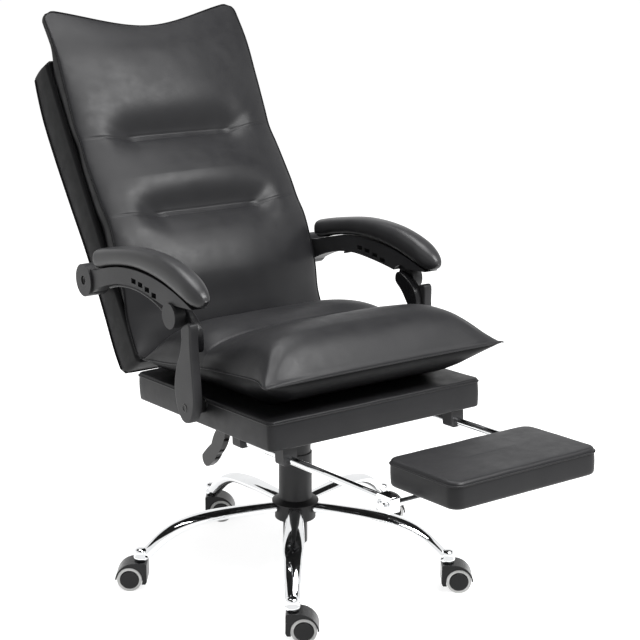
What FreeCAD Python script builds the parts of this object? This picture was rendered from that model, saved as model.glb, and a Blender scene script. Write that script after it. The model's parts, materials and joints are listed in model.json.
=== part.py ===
import FreeCAD, Part
import math
import os
import Sketcher

# Reclining office chair with footrest, in millimetres.
# +Z is up, the sitter faces -Y, and the origin is on the floor under the column.
# The back leans about 31 degrees and the footrest is pulled out.

Vector = FreeCAD.Vector
Rotation = FreeCAD.Rotation
Placement = FreeCAD.Placement

SIZES = [
    ("leg_count", 5),
    ("first_leg_angle", -124.6),
    ("stem_reach", 325.0),
    ("hub_radius", 42.0),
    ("hub_bottom", 116.0),
    ("hub_top", 150.0),
    ("leg_root_width", 30.0),
    ("leg_middle_width", 44.0),
    ("leg_end_width", 32.0),
    ("leg_thickness", 20.0),
    ("leg_crest", 137.0),
    ("leg_socket_radius", 14.0),
    ("leg_socket_bottom", 62.0),
    ("leg_socket_top", 86.0),
    ("wheel_radius", 25.0),
    ("wheel_core_radius", 19.5),
    ("wheel_width", 15.0),
    ("wheel_inset", 6.0),
    ("wheel_play", 1.0),
    ("caster_heading", -34.6),
    ("odd_caster_number", 5),
    ("odd_caster_heading", 145.4),
    ("caster_trail", 22.0),
    ("hood_wall", 3.0),
    ("hood_half_width", 22.5),
    ("hood_web", 4.0),
    ("hood_top", 60.0),
    ("hood_front", 13.0),
    ("hood_foot", 15.0),
    ("hood_chamfer", 3.0),
    ("hood_floor", 8.0),
    ("axle_radius", 3.0),
    ("stem_radius", 5.5),
    ("stem_top", 82.0),
    ("outer_tube_radius", 25.0),
    ("outer_tube_bottom", 62.0),
    ("outer_tube_drop", 108.0),
    ("outer_tube_wall", 1.5),
    ("bush_length", 60.0),
    ("inner_tube_radius", 14.0),
    ("inner_tube_wall", 2.0),
    ("piston_rod_radius", 5.0),
    ("piston_height", 14.0),
    ("stop_collar_radius", 10.0),
    ("stop_collar_height", 3.0),
    ("tube_floor", 4.0),
    ("tube_cap", 12.0),
    ("tube_foot", 8.0),
    ("stroke_reserve", 10.0),
    ("piston_reserve", 24.0),
    ("bearing_height", 8.0),
    ("bearing_radius", 17.0),
    ("clip_height", 2.0),
    ("clip_wall", 4.0),
    ("cover_radius", 34.0),
    ("cover_wall", 2.0),
    ("cover_step", 0.6),
    ("cover_skirt_radius", 48.0),
    ("cover_skirt_height", 9.0),
    ("cover_skirt_edge", 2.0),
    ("cover_lip", 3.0),
    ("cover_rest", 0.2),
    ("cover_lower_drop", 112.0),
    ("cover_middle_drop", 79.0),
    ("cover_stage_length", 78.0),
    ("lift_down", 50.0),
    ("lift_up", 35.0),
    ("seat_height", 370.0),
    ("seat_tilt", 3.84),
    ("seat_width", 490.0),
    ("seat_front", 288.5),
    ("seat_rear", 214.0),
    ("seat_thickness", 54.0),
    ("seat_corner", 26.0),
    ("seat_edge", 8.0),
    ("panel_thickness", 12.0),
    ("panel_margin", 14.0),
    ("pillow_inset", 3.0),
    ("pillow_front", 333.0),
    ("pillow_seam_height", 80.0),
    ("pillow_roll_height", 136.0),
    ("pillow_valley_height", 110.0),
    ("pillow_rear_height", 122.0),
    ("pillow_rear", 190.0),
    ("tray_width", 92.0),
    ("tray_length", 150.0),
    ("tray_depth", 50.0),
    ("tray_wall", 3.0),
    ("tray_flange", 34.0),
    ("tray_flange_end", 12.0),
    ("socket_stand_out", 2.0),
    ("socket_radius", 21.0),
    ("socket_length", 27.0),
    ("pin_radius", 3.5),
    ("pin_stand_out", 6.0),
    ("pin_depth", 20.0),
    ("mount_bolt_radius", 4.0),
    ("mount_bolt_head_radius", 7.0),
    ("mount_bolt_head_height", 4.0),
    ("mount_bolt_short", 1.0),
    ("mount_bolt_spread_x", 58.0),
    ("mount_bolt_spread_y", 60.0),
    ("lever_rod_radius", 4.0),
    ("lever_reach", 178.0),
    ("lever_bend_out", 16.0),
    ("lever_elbow", 18.0),
    ("lever_drop", 22.0),
    ("lever_set_back", 12.0),
    ("lever_play", 0.5),
    ("grip_width", 26.0),
    ("grip_thickness", 13.0),
    ("grip_length", 112.0),
    ("grip_tilt", 34.0),
    ("rail_spread", 196.0),
    ("rail_radius", 7.5),
    ("rail_drop", 24.6),
    ("rail_front", 566.0),
    ("rail_length", 476.0),
    ("rail_stop_radius", 10.0),
    ("rail_stop_length", 8.0),
    ("guide_width", 30.0),
    ("guide_length", 28.0),
    ("guide_below", 11.0),
    ("front_guide", 262.0),
    ("rear_guide", 112.0),
    ("crossbar_radius", 6.0),
    ("crossbar_drop", 8.4),
    ("bracket_length", 38.0),
    ("bracket_width", 20.0),
    ("bracket_height", 30.0),
    ("footrest_width", 322.0),
    ("footrest_depth", 188.0),
    ("footrest_thickness", 51.0),
    ("footrest_rear", 517.0),
    ("footrest_lift", 4.6),
    ("footrest_corner", 22.0),
    ("footrest_edge", 9.0),
    ("footrest_arm_spread", 96.0),
    ("footrest_arm_width", 26.0),
    ("hinge_back", 306.0),
    ("hinge_rise", 43.0),
    ("hinge_spread", 150.0),
    ("hinge_plate", 6.0),
    ("hinge_cheek", 4.0),
    ("hinge_pin_radius", 5.0),
    ("hinge_eye_radius", 13.0),
    ("hinge_foot_length", 84.0),
    ("hinge_foot_width", 34.0),
    ("back_lean", 31.5),
    ("hinge_up", 27.0),
    ("hinge_in", 12.0),
    ("shell_width", 475.0),
    ("shell_height", 693.0),
    ("shell_depth", 92.0),
    ("shell_top_depth", 60.0),
    ("shell_bow", 32.0),
    ("shell_edge", 13.0),
    ("slot_width", 30.0),
    ("slot_height", 78.0),
    ("slot_depth", 68.0),
    ("cushion_height", 788.0),
    ("cushion_dip", 46.0),
    ("cushion_swell", 74.0),
    ("upper_channel", 478.0),
    ("lower_channel", 294.0),
    ("channel_half_length", 122.0),
    ("channel_depth", 33.0),
    ("channel_fade", 62.0),
    ("ear_inset", 8.5),
    ("arm_pivot_up", 196.0),
    ("arm_pivot_in", 64.0),
    ("arm_clearance", 6.0),
    ("arm_width", 43.0),
    ("arm_boss_radius", 34.0),
    ("arm_bolt_radius", 5.0),
    ("arm_bolt_head_radius", 9.0),
    ("arm_bolt_head_height", 5.0),
    ("knuckle_radius", 25.0),
    ("knuckle_width", 24.0),
    ("knuckle_pin_radius", 5.0),
    ("strut_bolt_forward", 52.0),
    ("strut_bolt_rise", 47.0),
    ("strut_width", 36.0),
    ("strut_bolt_depth", 40.0),
    ("arm_bolt_depth", 45.0),
    ("arm_length", 490.0),
    ("arm_rise", 107.0),
    ("pad_edge", 9.0),
    ("strut_swell", 44.0),
    ("strut_bevel", 3.5),
    ("washer_radius", 14.0),
    ("bolt_hole_length", 60.0),
    ("bolt_sunk", 4.0),
    ("rail_inset", 5.0),
    ("cell_count", 4),
    ("cell_start", 212.0),
    ("cell_pitch", 27.0),
    ("cell_width", 18.0),
    ("cell_height", 10.0),
    ("soft_gap", 0.6),
    ("running_gap", 0.1),
    ("side_gap", 0.4),
]


class Size:
    """A size with its number and the formula that ties it to the sheet."""

    def __init__(self, value, text):
        self.value = float(value)
        self.text = text

    def __add__(self, other):
        other = as_size(other)
        return Size(self.value + other.value, f"({self.text} + {other.text})")

    def __sub__(self, other):
        other = as_size(other)
        return Size(self.value - other.value, f"({self.text} - {other.text})")

    def __mul__(self, other):
        other = as_size(other)
        return Size(self.value * other.value, f"({self.text} * {other.text})")

    def __truediv__(self, other):
        other = as_size(other)
        return Size(self.value / other.value, f"({self.text} / {other.text})")

    def __radd__(self, other):
        return as_size(other) + self

    def __rsub__(self, other):
        return as_size(other) - self

    def __rmul__(self, other):
        return as_size(other) * self

    def __neg__(self):
        return Size(-self.value, f"(0 - {self.text})")

    def __float__(self):
        return self.value


def wider(first, second):
    """The larger of two sizes."""
    return first if float(first) >= float(second) else second


def as_size(number):
    """A plain number as a size, so that both can stand in one formula."""
    if isinstance(number, Size):
        return number
    return Size(number, f"({float(number):.6f})")


class Sizes:
    """The driving dimensions, each read back from the sheet by its alias."""

    def __init__(self, sheet, names):
        for name in names:
            setattr(self, name, Size(getattr(sheet, name), f"sizes.{name}"))


doc = FreeCAD.newDocument("chair")
sheet = doc.addObject("Spreadsheet::Sheet", "sizes")
for row, (name, number) in enumerate(SIZES, start=1):
    sheet.set(f"A{row}", name)
    sheet.set(f"B{row}", str(number))
    sheet.setAlias(f"B{row}", name)
doc.recompute()
s = Sizes(sheet, [name for name, number in SIZES])

# Heights that go with the seat, and the arms' place beside the wider of seat and back.
outer_tube_top = s.seat_height - s.outer_tube_drop
cover_lower_top = s.seat_height - s.cover_lower_drop
cover_middle_top = s.seat_height - s.cover_middle_drop
cover_upper_top = s.seat_height - s.tray_depth - s.socket_stand_out
hinge_height = s.seat_height + s.hinge_rise
strut_bolt_height = s.seat_height + s.strut_bolt_rise
arm_inner = wider(s.seat_width, s.shell_width) / 2 + s.arm_clearance

nodes = []


# Frames


def turn_about_x(degrees, centre):
    """A turn about a line along X through the centre."""
    rotation = Rotation(Vector(1, 0, 0), degrees)
    return Placement(centre - rotation.multVec(centre), rotation)


def in_frame(frame, x, y, z):
    """A point of a tilted frame in the chair's own coordinates."""
    return frame.multVec(Vector(float(x), float(y), float(z)))


level = Placement()
seat_frame = turn_about_x(-float(s.seat_tilt), Vector(0, 0, float(s.seat_height)))

# The back's frame: Z runs up the back, Y is square to its rear face, X stays level.
hinge_point = Vector(0, float(s.hinge_back), float(hinge_height))
back_turn = Rotation(Vector(1, 0, 0), -float(s.back_lean))
hinge_in_back = Vector(0, -float(s.hinge_in), float(s.hinge_up))
back_frame = Placement(hinge_point - back_turn.multVec(hinge_in_back), back_turn)

# Back hinge, arm pivot, knuckle and strut bolt are the corners of a parallelogram.
arm_pivot = in_frame(back_frame, 0, -s.arm_pivot_in, s.arm_pivot_up)
strut_bolt = Vector(0, -float(s.strut_bolt_forward), float(strut_bolt_height))
crank = arm_pivot - hinge_point
knuckle = strut_bolt + crank
arm_frame = Placement(arm_pivot, Rotation())
strut_frame = Placement(strut_bolt, Rotation())


# Building helpers


def keep(thing, name, frame=level):
    """Names a finished sub-part, places it and puts it on the list."""
    thing.Label = name
    thing.Placement = frame
    nodes.append(thing)
    return thing


def new_body(name):
    return doc.addObject("PartDesign::Body", name + "_body")


def origin_plane(body, role):
    return next(o for o in body.Origin.OriginFeatures if o.Role == role)


def new_sketch(body, plane, lift=0.0):
    """A sketch on an origin plane of its body, lifted along the plane's normal."""
    sketch = body.newObject("Sketcher::SketchObject", body.Name + "_sketch")
    sketch.AttachmentSupport = [(origin_plane(body, plane), "")]
    sketch.MapMode = "FlatFace"
    lift = as_size(lift)
    sketch.AttachmentOffset = Placement(Vector(0, 0, lift.value), Rotation())
    sketch.setExpression(".AttachmentOffset.Base.z", lift.text)
    return sketch


def tie_point(sketch, element, end, point):
    """Ties one point of a sketch to the sheet, across and up from the origin."""
    for kind, size in zip(("DistanceX", "DistanceY"), point):
        size = as_size(size)
        index = sketch.addConstraint(
            Sketcher.Constraint(kind, -1, 1, element, end, size.value)
        )
        sketch.setExpression(f"Constraints[{index}]", size.text)


def flat(point):
    return Vector(float(point[0]), float(point[1]), 0)


def outline(sketch, *steps):
    """A closed outline. A step is a point, or a pair: a point passed on an arc, and its end."""
    ends = [step if not isinstance(step[0], tuple) else step[1] for step in steps]
    first = sketch.GeometryCount
    for index, step in enumerate(steps):
        start = ends[index - 1]
        if isinstance(step[0], tuple):
            arc = Part.Arc(flat(start), flat(step[0]), flat(step[1]))
            element = sketch.addGeometry(arc)
        else:
            element = sketch.addGeometry(Part.LineSegment(flat(start), flat(step)))
    count = len(steps)
    elements = [first + index for index in range(count)]
    for index, element in enumerate(elements):
        end = end_at(sketch, element, ends[index])
        following = elements[(index + 1) % count]
        start = 3 - end_at(sketch, following, ends[(index + 1) % count])
        sketch.addConstraint(Sketcher.Constraint("Coincident", element, end, following, start))
        tie_point(sketch, element, end, ends[index])
    for index, step in enumerate(steps):
        if isinstance(step[0], tuple):
            passed = sketch.addGeometry(Part.Point(flat(step[0])), True)
            tie_point(sketch, passed, 1, step[0])
            sketch.addConstraint(
                Sketcher.Constraint("PointOnObject", passed, 1, elements[index])
            )


def end_at(sketch, element, point):
    """Which end of a line or arc lies on the point: 1 for its start, 2 for its end."""
    starts_there = (sketch.getPoint(element, 1) - flat(point)).Length
    ends_there = (sketch.getPoint(element, 2) - flat(point)).Length
    return 1 if starts_there < ends_there else 2


def circle(sketch, centre, radius):
    radius = as_size(radius)
    element = sketch.addGeometry(Part.Circle(flat(centre), Vector(0, 0, 1), radius.value))
    tie_point(sketch, element, 3, centre)
    index = sketch.addConstraint(Sketcher.Constraint("Radius", element, radius.value))
    sketch.setExpression(f"Constraints[{index}]", radius.text)


def rectangle(sketch, left, low, right, high):
    outline(sketch, (left, low), (right, low), (right, high), (left, high))


def pad(body, sketch, length, midplane=False, backwards=False):
    feature = body.newObject("PartDesign::Pad", body.Name + "_pad")
    feature.Profile = sketch
    length = as_size(length)
    feature.Length = length.value
    feature.setExpression("Length", length.text)
    feature.Midplane = midplane
    feature.Reversed = backwards
    sketch.Visibility = False
    doc.recompute()
    return feature


def pocket(body, sketch, length, midplane=False, backwards=False):
    """Cuts a sketch into its body and checks that it took something away."""
    before = body.Shape.Volume
    feature = body.newObject("PartDesign::Pocket", body.Name + "_pocket")
    feature.Profile = sketch
    length = as_size(length)
    feature.Length = length.value
    feature.setExpression("Length", length.text)
    feature.Midplane = midplane
    feature.Reversed = backwards
    doc.recompute()
    if body.Shape.Volume >= before:
        raise RuntimeError(f"{body.Name}: a pocket cut nothing")
    return feature


def edges_where(shape, test):
    return [f"Edge{i}" for i, edge in enumerate(shape.Edges, start=1) if test(edge)]


def round_edges(body, radius, test):
    """Rounds the edges of the body's last feature that pass the test."""
    base = body.Tip
    names = edges_where(base.Shape, test)
    before = base.Shape.Volume
    feature = body.newObject("PartDesign::Fillet", body.Name + "_round")
    feature.Base = (base, names)
    radius = as_size(radius)
    feature.Radius = radius.value
    feature.setExpression("Radius", radius.text)
    doc.recompute()
    if not names or body.Shape.Volume >= before:
        raise RuntimeError(f"{body.Name}: {len(names)} edges weren't rounded")
    return feature


def runs_along(axis):
    """A test for straight edges along one axis."""

    def test(edge):
        if edge.Curve.TypeId != "Part::GeomLine":
            return False
        return abs(edge.tangentAt(edge.FirstParameter).dot(axis)) > 0.999

    return test


def lies_flat(axis, *places):
    """A test for edges that lie wholly in a plane square to the axis, at one of the places."""

    def test(edge):
        box = edge.BoundBox
        low = Vector(box.XMin, box.YMin, box.ZMin).dot(axis)
        high = Vector(box.XMax, box.YMax, box.ZMax).dot(axis)
        near = any(abs(low - float(place)) < 0.01 for place in places)
        return near and high - low < 0.01

    return test


def loft(body, sketches, ruled=False):
    """A solid drawn through several closed sketches, smoothly or with straight runs."""
    feature = body.newObject("PartDesign::AdditiveLoft", body.Name + "_loft")
    feature.Ruled = ruled
    feature.Profile = sketches[0]
    feature.Sections = sketches[1:]
    doc.recompute()
    return feature


def revolve(body, sketch):
    """Turns a sketch on the XZ plane right round the Z axis."""
    feature = body.newObject("PartDesign::Revolution", body.Name + "_turned")
    feature.Profile = sketch
    feature.ReferenceAxis = (sketch, ["V_Axis"])
    feature.Angle = 360
    doc.recompute()
    return feature


def turned(name, frame, *steps):
    """A sub-part turned about Z, from its half outline: radius and height."""
    body = new_body(name)
    sketch = new_sketch(body, "XZ_Plane")
    outline(sketch, *steps)
    revolve(body, sketch)
    return keep(body, name, frame)


def ring(name, frame, inner, outer, low, high):
    """A plain ring or sleeve about Z."""
    return turned(name, frame, (inner, low), (outer, low), (outer, high), (inner, high))


def solid_feature(name, shape, frame=level):
    """A sub-part whose shape is made directly."""
    feature = doc.addObject("Part::Feature", name)
    feature.Shape = shape
    return keep(feature, name, frame)


def rod(start, end, radius):
    start = Vector(start)
    return Part.makeCylinder(float(radius), (Vector(end) - start).Length, start, Vector(end) - start)


def block(low, high):
    low = Vector(*[float(value) for value in low])
    high = Vector(*[float(value) for value in high])
    span = high - low
    return Part.makeBox(span.x, span.y, span.z, low)


def mirrored_pair(shape):
    """A solid and its mirror image across the chair's middle plane."""
    return Part.makeCompound([shape, shape.mirror(Vector(), Vector(1, 0, 0))])


# Star base


def ellipse_wire(reach, height, width, thickness, lean):
    """A leg section: an upright ellipse at a reach from the column, leaning by an angle."""
    centre = Vector(reach, 0, height)
    across = Vector(0, 1, 0)
    rise = Vector(math.sin(lean), 0, math.cos(lean))
    if width >= thickness:
        curve = Part.Ellipse(centre + across * (width / 2), centre + rise * (thickness / 2), centre)
    else:
        curve = Part.Ellipse(centre + rise * (thickness / 2), centre - across * (width / 2), centre)
    return Part.Wire([curve.toShape()])


def leg_shape():
    """A leg that leaves the hub level, widens, and arches down onto its caster socket."""
    reach = float(s.stem_reach)
    thick = float(s.leg_thickness)
    crest = float(s.leg_crest)
    root = float(s.leg_root_width)
    middle = float(s.leg_middle_width)
    end = float(s.leg_end_width)
    start = float(s.hub_radius) - 6
    socket_middle = (float(s.leg_socket_bottom) + float(s.leg_socket_top)) / 2
    drop = crest - socket_middle
    sections = [
        (start, crest + 1, root, thick, 0.0),
        (reach * 0.30, crest + 1, (root + middle) / 2, thick, 0.0),
        (reach * 0.50, crest, middle, thick, math.radians(3)),
        (reach * 0.66, crest - drop * 0.08, middle, thick, math.radians(10)),
        (reach * 0.80, crest - drop * 0.26, (middle + end) / 2, thick, math.radians(28)),
        (reach * 0.92, crest - drop * 0.60, end, thick, math.radians(48)),
        (reach, socket_middle + 2, end - 6, thick - 2, math.radians(60)),
    ]
    wires = [ellipse_wire(*section) for section in sections]
    arm = Part.makeLoft(wires, True, False)
    base = Vector(reach, 0, float(s.leg_socket_bottom))
    socket = Part.makeCylinder(
        float(s.leg_socket_radius), float(s.leg_socket_top - s.leg_socket_bottom), base
    )
    bore = Part.makeCylinder(
        float(s.stem_radius + s.running_gap),
        float(s.stem_top - s.leg_socket_bottom) + 1,
        base,
    )
    well = Part.makeCylinder(float(s.hub_radius + s.running_gap), 200, Vector(0, 0, 0))
    return arm.fuse(socket).cut(bore).cut(well).removeSplitter()


def leg_angle(number):
    return float(s.first_leg_angle) + (number - 1) * 360.0 / float(s.leg_count)


def make_star_base():
    bore = s.outer_tube_radius + s.running_gap
    ring("hub", level, bore, s.hub_radius, s.hub_bottom, s.hub_top)
    for number in range(1, int(float(s.leg_count)) + 1):
        turn = Placement(Vector(), Rotation(Vector(0, 0, 1), leg_angle(number)))
        solid_feature(f"leg_{number}", leg_shape(), turn)


# Casters


def make_hood(name, frame):
    """The moulded hood: a block round the stem and a fender over both wheels."""
    body = new_body(name)
    sketch = new_sketch(body, "XZ_Plane")
    fender = s.wheel_radius + s.wheel_play + s.hood_wall
    chamfer = s.hood_chamfer
    trail = s.caster_trail
    axle_height = s.wheel_radius
    slope = math.sqrt(0.5)
    outline(
        sketch,
        (-s.hood_front, s.hood_foot + 2 * chamfer),
        (-s.hood_front, s.hood_top - chamfer),
        (-s.hood_front + chamfer, s.hood_top),
        (s.stem_radius + 5, s.hood_top),
        ((trail + fender * slope, axle_height + fender * slope), (trail + fender, axle_height)),
        (trail, axle_height),
        (trail - s.wheel_radius, s.hood_foot),
        (-s.hood_front + chamfer, s.hood_foot),
    )
    pad(body, sketch, s.hood_half_width * 2, midplane=True)
    for side in (-1, 1):
        lift = s.hood_web if side > 0 else -s.hood_web
        well = new_sketch(body, "XZ_Plane", lift)
        circle(well, (trail, axle_height), s.wheel_radius + s.wheel_play)
        pocket(body, well, s.hood_half_width, backwards=(side > 0))
    axle_hole = new_sketch(body, "XZ_Plane")
    circle(axle_hole, (trail, axle_height), s.axle_radius + s.running_gap)
    pocket(body, axle_hole, s.hood_half_width * 2, midplane=True)
    stem_hole = new_sketch(body, "XY_Plane", s.hood_top)
    circle(stem_hole, (0, 0), s.stem_radius + s.running_gap)
    pocket(body, stem_hole, s.hood_top - s.wheel_radius - s.hood_floor)
    keep(body, name, frame)


def wheel_pair(name, frame, inner, outer):
    """The two wheels, or their tyres, as rings on the axle."""
    span = float(s.wheel_width)
    near = float(s.wheel_inset)
    rings = []
    for side in (-1, 1):
        start = Vector(float(s.caster_trail), side * near, float(s.wheel_radius))
        way = Vector(0, side, 0)
        solid = Part.makeCylinder(float(outer), span, start, way)
        rings.append(solid.cut(Part.makeCylinder(float(inner), span, start, way)))
    solid_feature(name, Part.makeCompound(rings), frame)


def make_caster(number):
    angle = math.radians(leg_angle(number))
    reach = float(s.stem_reach)
    place = Vector(reach * math.cos(angle), reach * math.sin(angle), 0)
    # All the casters trail one way as photographed, but for the odd one that trails back.
    is_odd = number == int(float(s.odd_caster_number))
    heading = s.odd_caster_heading if is_odd else s.caster_heading
    frame = Placement(place, Rotation(Vector(0, 0, 1), float(heading)))
    make_hood(f"caster_{number}_hood", frame)
    axle_end = float(s.wheel_inset + s.wheel_width - s.wheel_play)
    axle_middle = Vector(float(s.caster_trail), 0, float(s.wheel_radius))
    axle_reach = Vector(0, axle_end, 0)
    stem_foot = Vector(0, 0, float(s.wheel_radius + s.hood_floor + s.running_gap))
    stem = rod(stem_foot, Vector(0, 0, float(s.stem_top)), s.stem_radius)
    axle = rod(axle_middle - axle_reach, axle_middle + axle_reach, s.axle_radius)
    solid_feature(f"caster_{number}_pins", Part.makeCompound([stem, axle]), frame)
    core_bore = s.axle_radius + s.running_gap
    wheel_pair(f"caster_{number}_wheels", frame, core_bore, s.wheel_core_radius)
    wheel_pair(f"caster_{number}_tyres", frame, s.wheel_core_radius, s.wheel_radius)


# Gas spring and its covers


def make_column():
    tube_inside = s.outer_tube_radius - s.outer_tube_wall
    floor_top = s.outer_tube_bottom + s.tube_floor
    turned(
        "gas_outer_tube",
        level,
        (s.piston_rod_radius + s.running_gap, s.outer_tube_bottom),
        (s.outer_tube_radius, s.outer_tube_bottom),
        (s.outer_tube_radius, outer_tube_top),
        (tube_inside, outer_tube_top),
        (tube_inside, floor_top),
        (s.piston_rod_radius + s.running_gap, floor_top),
    )
    bush_outside = tube_inside
    bush_inside = s.inner_tube_radius + s.running_gap
    ring(
        "guide_bush",
        level,
        bush_inside,
        bush_outside,
        outer_tube_top - s.bush_length,
        outer_tube_top,
    )
    bearing_top = floor_top + s.bearing_height
    rod_bore = float(s.piston_rod_radius + s.running_gap)
    bearing = Part.makeCylinder(
        float(s.bearing_radius), float(s.bearing_height), Vector(0, 0, float(floor_top))
    )
    clip = Part.makeCylinder(
        float(s.piston_rod_radius + s.clip_wall),
        float(s.clip_height),
        Vector(0, 0, float(s.outer_tube_bottom - s.clip_height)),
    )
    bore = Part.makeCylinder(rod_bore, float(bearing_top), Vector())
    solid_feature("thrust_bearing", Part.makeCompound([bearing.cut(bore), clip.cut(bore)]))
    return bearing_top


def make_gas_spring(bearing_top):
    """The pressure tube under the seat, its piston rod, and the button on its top."""
    tube_top = s.seat_height - s.tray_depth + s.socket_length
    tube_low = bearing_top + s.lift_down + s.stroke_reserve
    rod_top = tube_low + s.lift_up + s.piston_height + s.piston_reserve
    collar_top = bearing_top + s.stop_collar_height
    rod_radius = s.piston_rod_radius
    tube_bore = s.inner_tube_radius - s.inner_tube_wall
    turned(
        "piston_rod",
        level,
        (0, s.outer_tube_bottom - s.clip_height),
        (rod_radius, s.outer_tube_bottom - s.clip_height),
        (rod_radius, bearing_top),
        (s.stop_collar_radius, bearing_top),
        (s.stop_collar_radius, collar_top),
        (rod_radius, collar_top),
        (rod_radius, rod_top - s.piston_height),
        (tube_bore - s.running_gap, rod_top - s.piston_height),
        (tube_bore - s.running_gap, rod_top),
        (0, rod_top),
    )
    turned(
        "gas_inner_tube",
        level,
        (rod_radius + s.running_gap, tube_low),
        (s.inner_tube_radius, tube_low),
        (s.inner_tube_radius, tube_top),
        (s.pin_radius + s.running_gap, tube_top),
        (s.pin_radius + s.running_gap, tube_top - s.tube_cap),
        (tube_bore, tube_top - s.tube_cap),
        (tube_bore, tube_low + s.tube_foot),
        (rod_radius + s.running_gap, tube_low + s.tube_foot),
    )
    turned(
        "release_pin",
        level,
        (0, tube_top - s.pin_depth),
        (s.pin_radius, tube_top - s.pin_depth),
        (s.pin_radius, tube_top + s.pin_stand_out),
        (0, tube_top + s.pin_stand_out),
    )
    return tube_top + s.pin_stand_out


def make_covers():
    """Three telescopic sleeves that hide the gas spring at any seat height."""
    outer = s.cover_radius
    wall = s.cover_wall
    skirt_low = s.hub_top + s.cover_rest
    skirt_top = skirt_low + s.cover_skirt_height
    turned(
        "cover_lower",
        level,
        (outer - wall, skirt_low),
        (s.cover_skirt_radius, skirt_low),
        (s.cover_skirt_radius, skirt_low + s.cover_skirt_edge),
        (outer, skirt_top),
        (outer, cover_lower_top),
        (outer - wall, cover_lower_top),
    )
    middle = outer - wall - s.cover_step
    ring(
        "cover_middle",
        level,
        middle - wall,
        middle,
        cover_middle_top - s.cover_stage_length,
        cover_middle_top,
    )
    upper = middle - wall - s.cover_step
    turned(
        "cover_upper",
        level,
        (upper - wall, cover_upper_top - s.cover_stage_length),
        (upper, cover_upper_top - s.cover_stage_length),
        (upper, cover_upper_top),
        (s.inner_tube_radius + s.running_gap, cover_upper_top),
        (s.inner_tube_radius + s.running_gap, cover_upper_top - s.cover_lip),
        (upper - wall, cover_upper_top - s.cover_lip),
    )


# Mechanism under the seat


def lever_rod_height(pin_top):
    """The height of the lever rod, which lies just on the release pin."""
    return float(pin_top + s.lever_rod_radius + s.side_gap)


def make_mechanism(pin_top):
    """A pressed tray with flanges bolted under the seat, and the cone socket in its floor."""
    bottom = float(s.seat_height)
    wall = float(s.tray_wall)
    half_width = float(s.tray_width) / 2
    half_length = float(s.tray_length) / 2
    depth = float(s.tray_depth)
    flange = float(s.tray_flange)
    flange_end = float(s.tray_flange_end)
    stand_out = float(s.socket_stand_out)
    outer = block((-half_width, -half_length, bottom - depth), (half_width, half_length, bottom))
    inner = block(
        (-half_width + wall, -half_length + wall, bottom - depth + wall),
        (half_width - wall, half_length - wall, bottom - wall),
    )
    plate = block(
        (-half_width - flange, -half_length - flange_end, bottom - wall),
        (half_width + flange, half_length + flange_end, bottom),
    )
    tray = outer.cut(inner).fuse(plate)
    tray.Placement = seat_frame
    socket_low = bottom - depth - stand_out
    socket = Part.makeCylinder(
        float(s.socket_radius), float(s.socket_length) + stand_out, Vector(0, 0, socket_low)
    )
    bore = rod((0, 0, bottom - 2 * depth), (0, 0, bottom - wall), s.inner_tube_radius + s.running_gap)
    body = tray.fuse(socket).cut(bore)
    way = Vector(1, 0, 0)
    start = Vector(-half_width - 1, 0, lever_rod_height(pin_top))
    hole = Part.makeCylinder(float(s.lever_rod_radius + s.lever_play), wall + 2, start, way)
    body = body.cut(hole)
    for across in (-1, 1):
        for along in (-1, 1):
            body = body.cut(mount_bolt_shank(across, along, s.mount_bolt_radius + s.running_gap))
    solid_feature("mechanism_tray", body.removeSplitter())


def mount_bolt_shank(across, along, radius):
    """The shank of a bolt through the tray's flange into the seat panel, or its hole."""
    x = across * float(s.mount_bolt_spread_x)
    y = along * float(s.mount_bolt_spread_y)
    top = float(s.seat_height + s.panel_thickness - s.mount_bolt_short)
    low = float(s.seat_height - s.tray_wall)
    shank = rod((x, y, low), (x, y, top), radius)
    shank.Placement = seat_frame
    return shank


def mount_bolt_shape(across, along):
    """A bolt through the tray's flange into the seat panel, with its head below."""
    x = across * float(s.mount_bolt_spread_x)
    y = along * float(s.mount_bolt_spread_y)
    low = float(s.seat_height - s.tray_wall)
    head = rod((x, y, low - float(s.mount_bolt_head_height)), (x, y, low), s.mount_bolt_head_radius)
    head.Placement = seat_frame
    return head.fuse(mount_bolt_shank(across, along, s.mount_bolt_radius))


def strut_bolt_shape():
    """A shouldered bolt that carries a strut on the seat box, with the washer behind it."""
    way = Vector(1, 0, 0)
    start = float(s.seat_width / 2 - s.strut_bolt_depth)
    outside = float(arm_inner + s.strut_width)
    head = float(s.arm_bolt_head_height)
    shank = rod(strut_bolt + way * start, strut_bolt + way * (outside - head), s.arm_bolt_radius)
    cap = rod(
        strut_bolt + way * (outside - head),
        strut_bolt + way * (outside - float(s.running_gap)),
        s.arm_bolt_head_radius,
    )
    washer = rod(
        strut_bolt + way * float(s.seat_width / 2 + s.side_gap / 2),
        strut_bolt + way * float(arm_inner - s.side_gap),
        s.washer_radius,
    )
    return shank.fuse([cap, washer]).removeSplitter()


def make_seat_bolts():
    """The four bolts of the tray and the two that carry the struts."""
    bolts = [mount_bolt_shape(across, along) for across in (-1, 1) for along in (-1, 1)]
    strut_bolts = mirrored_pair(strut_bolt_shape()).Solids
    solid_feature("seat_bolts", Part.makeCompound(bolts + strut_bolts))


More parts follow.
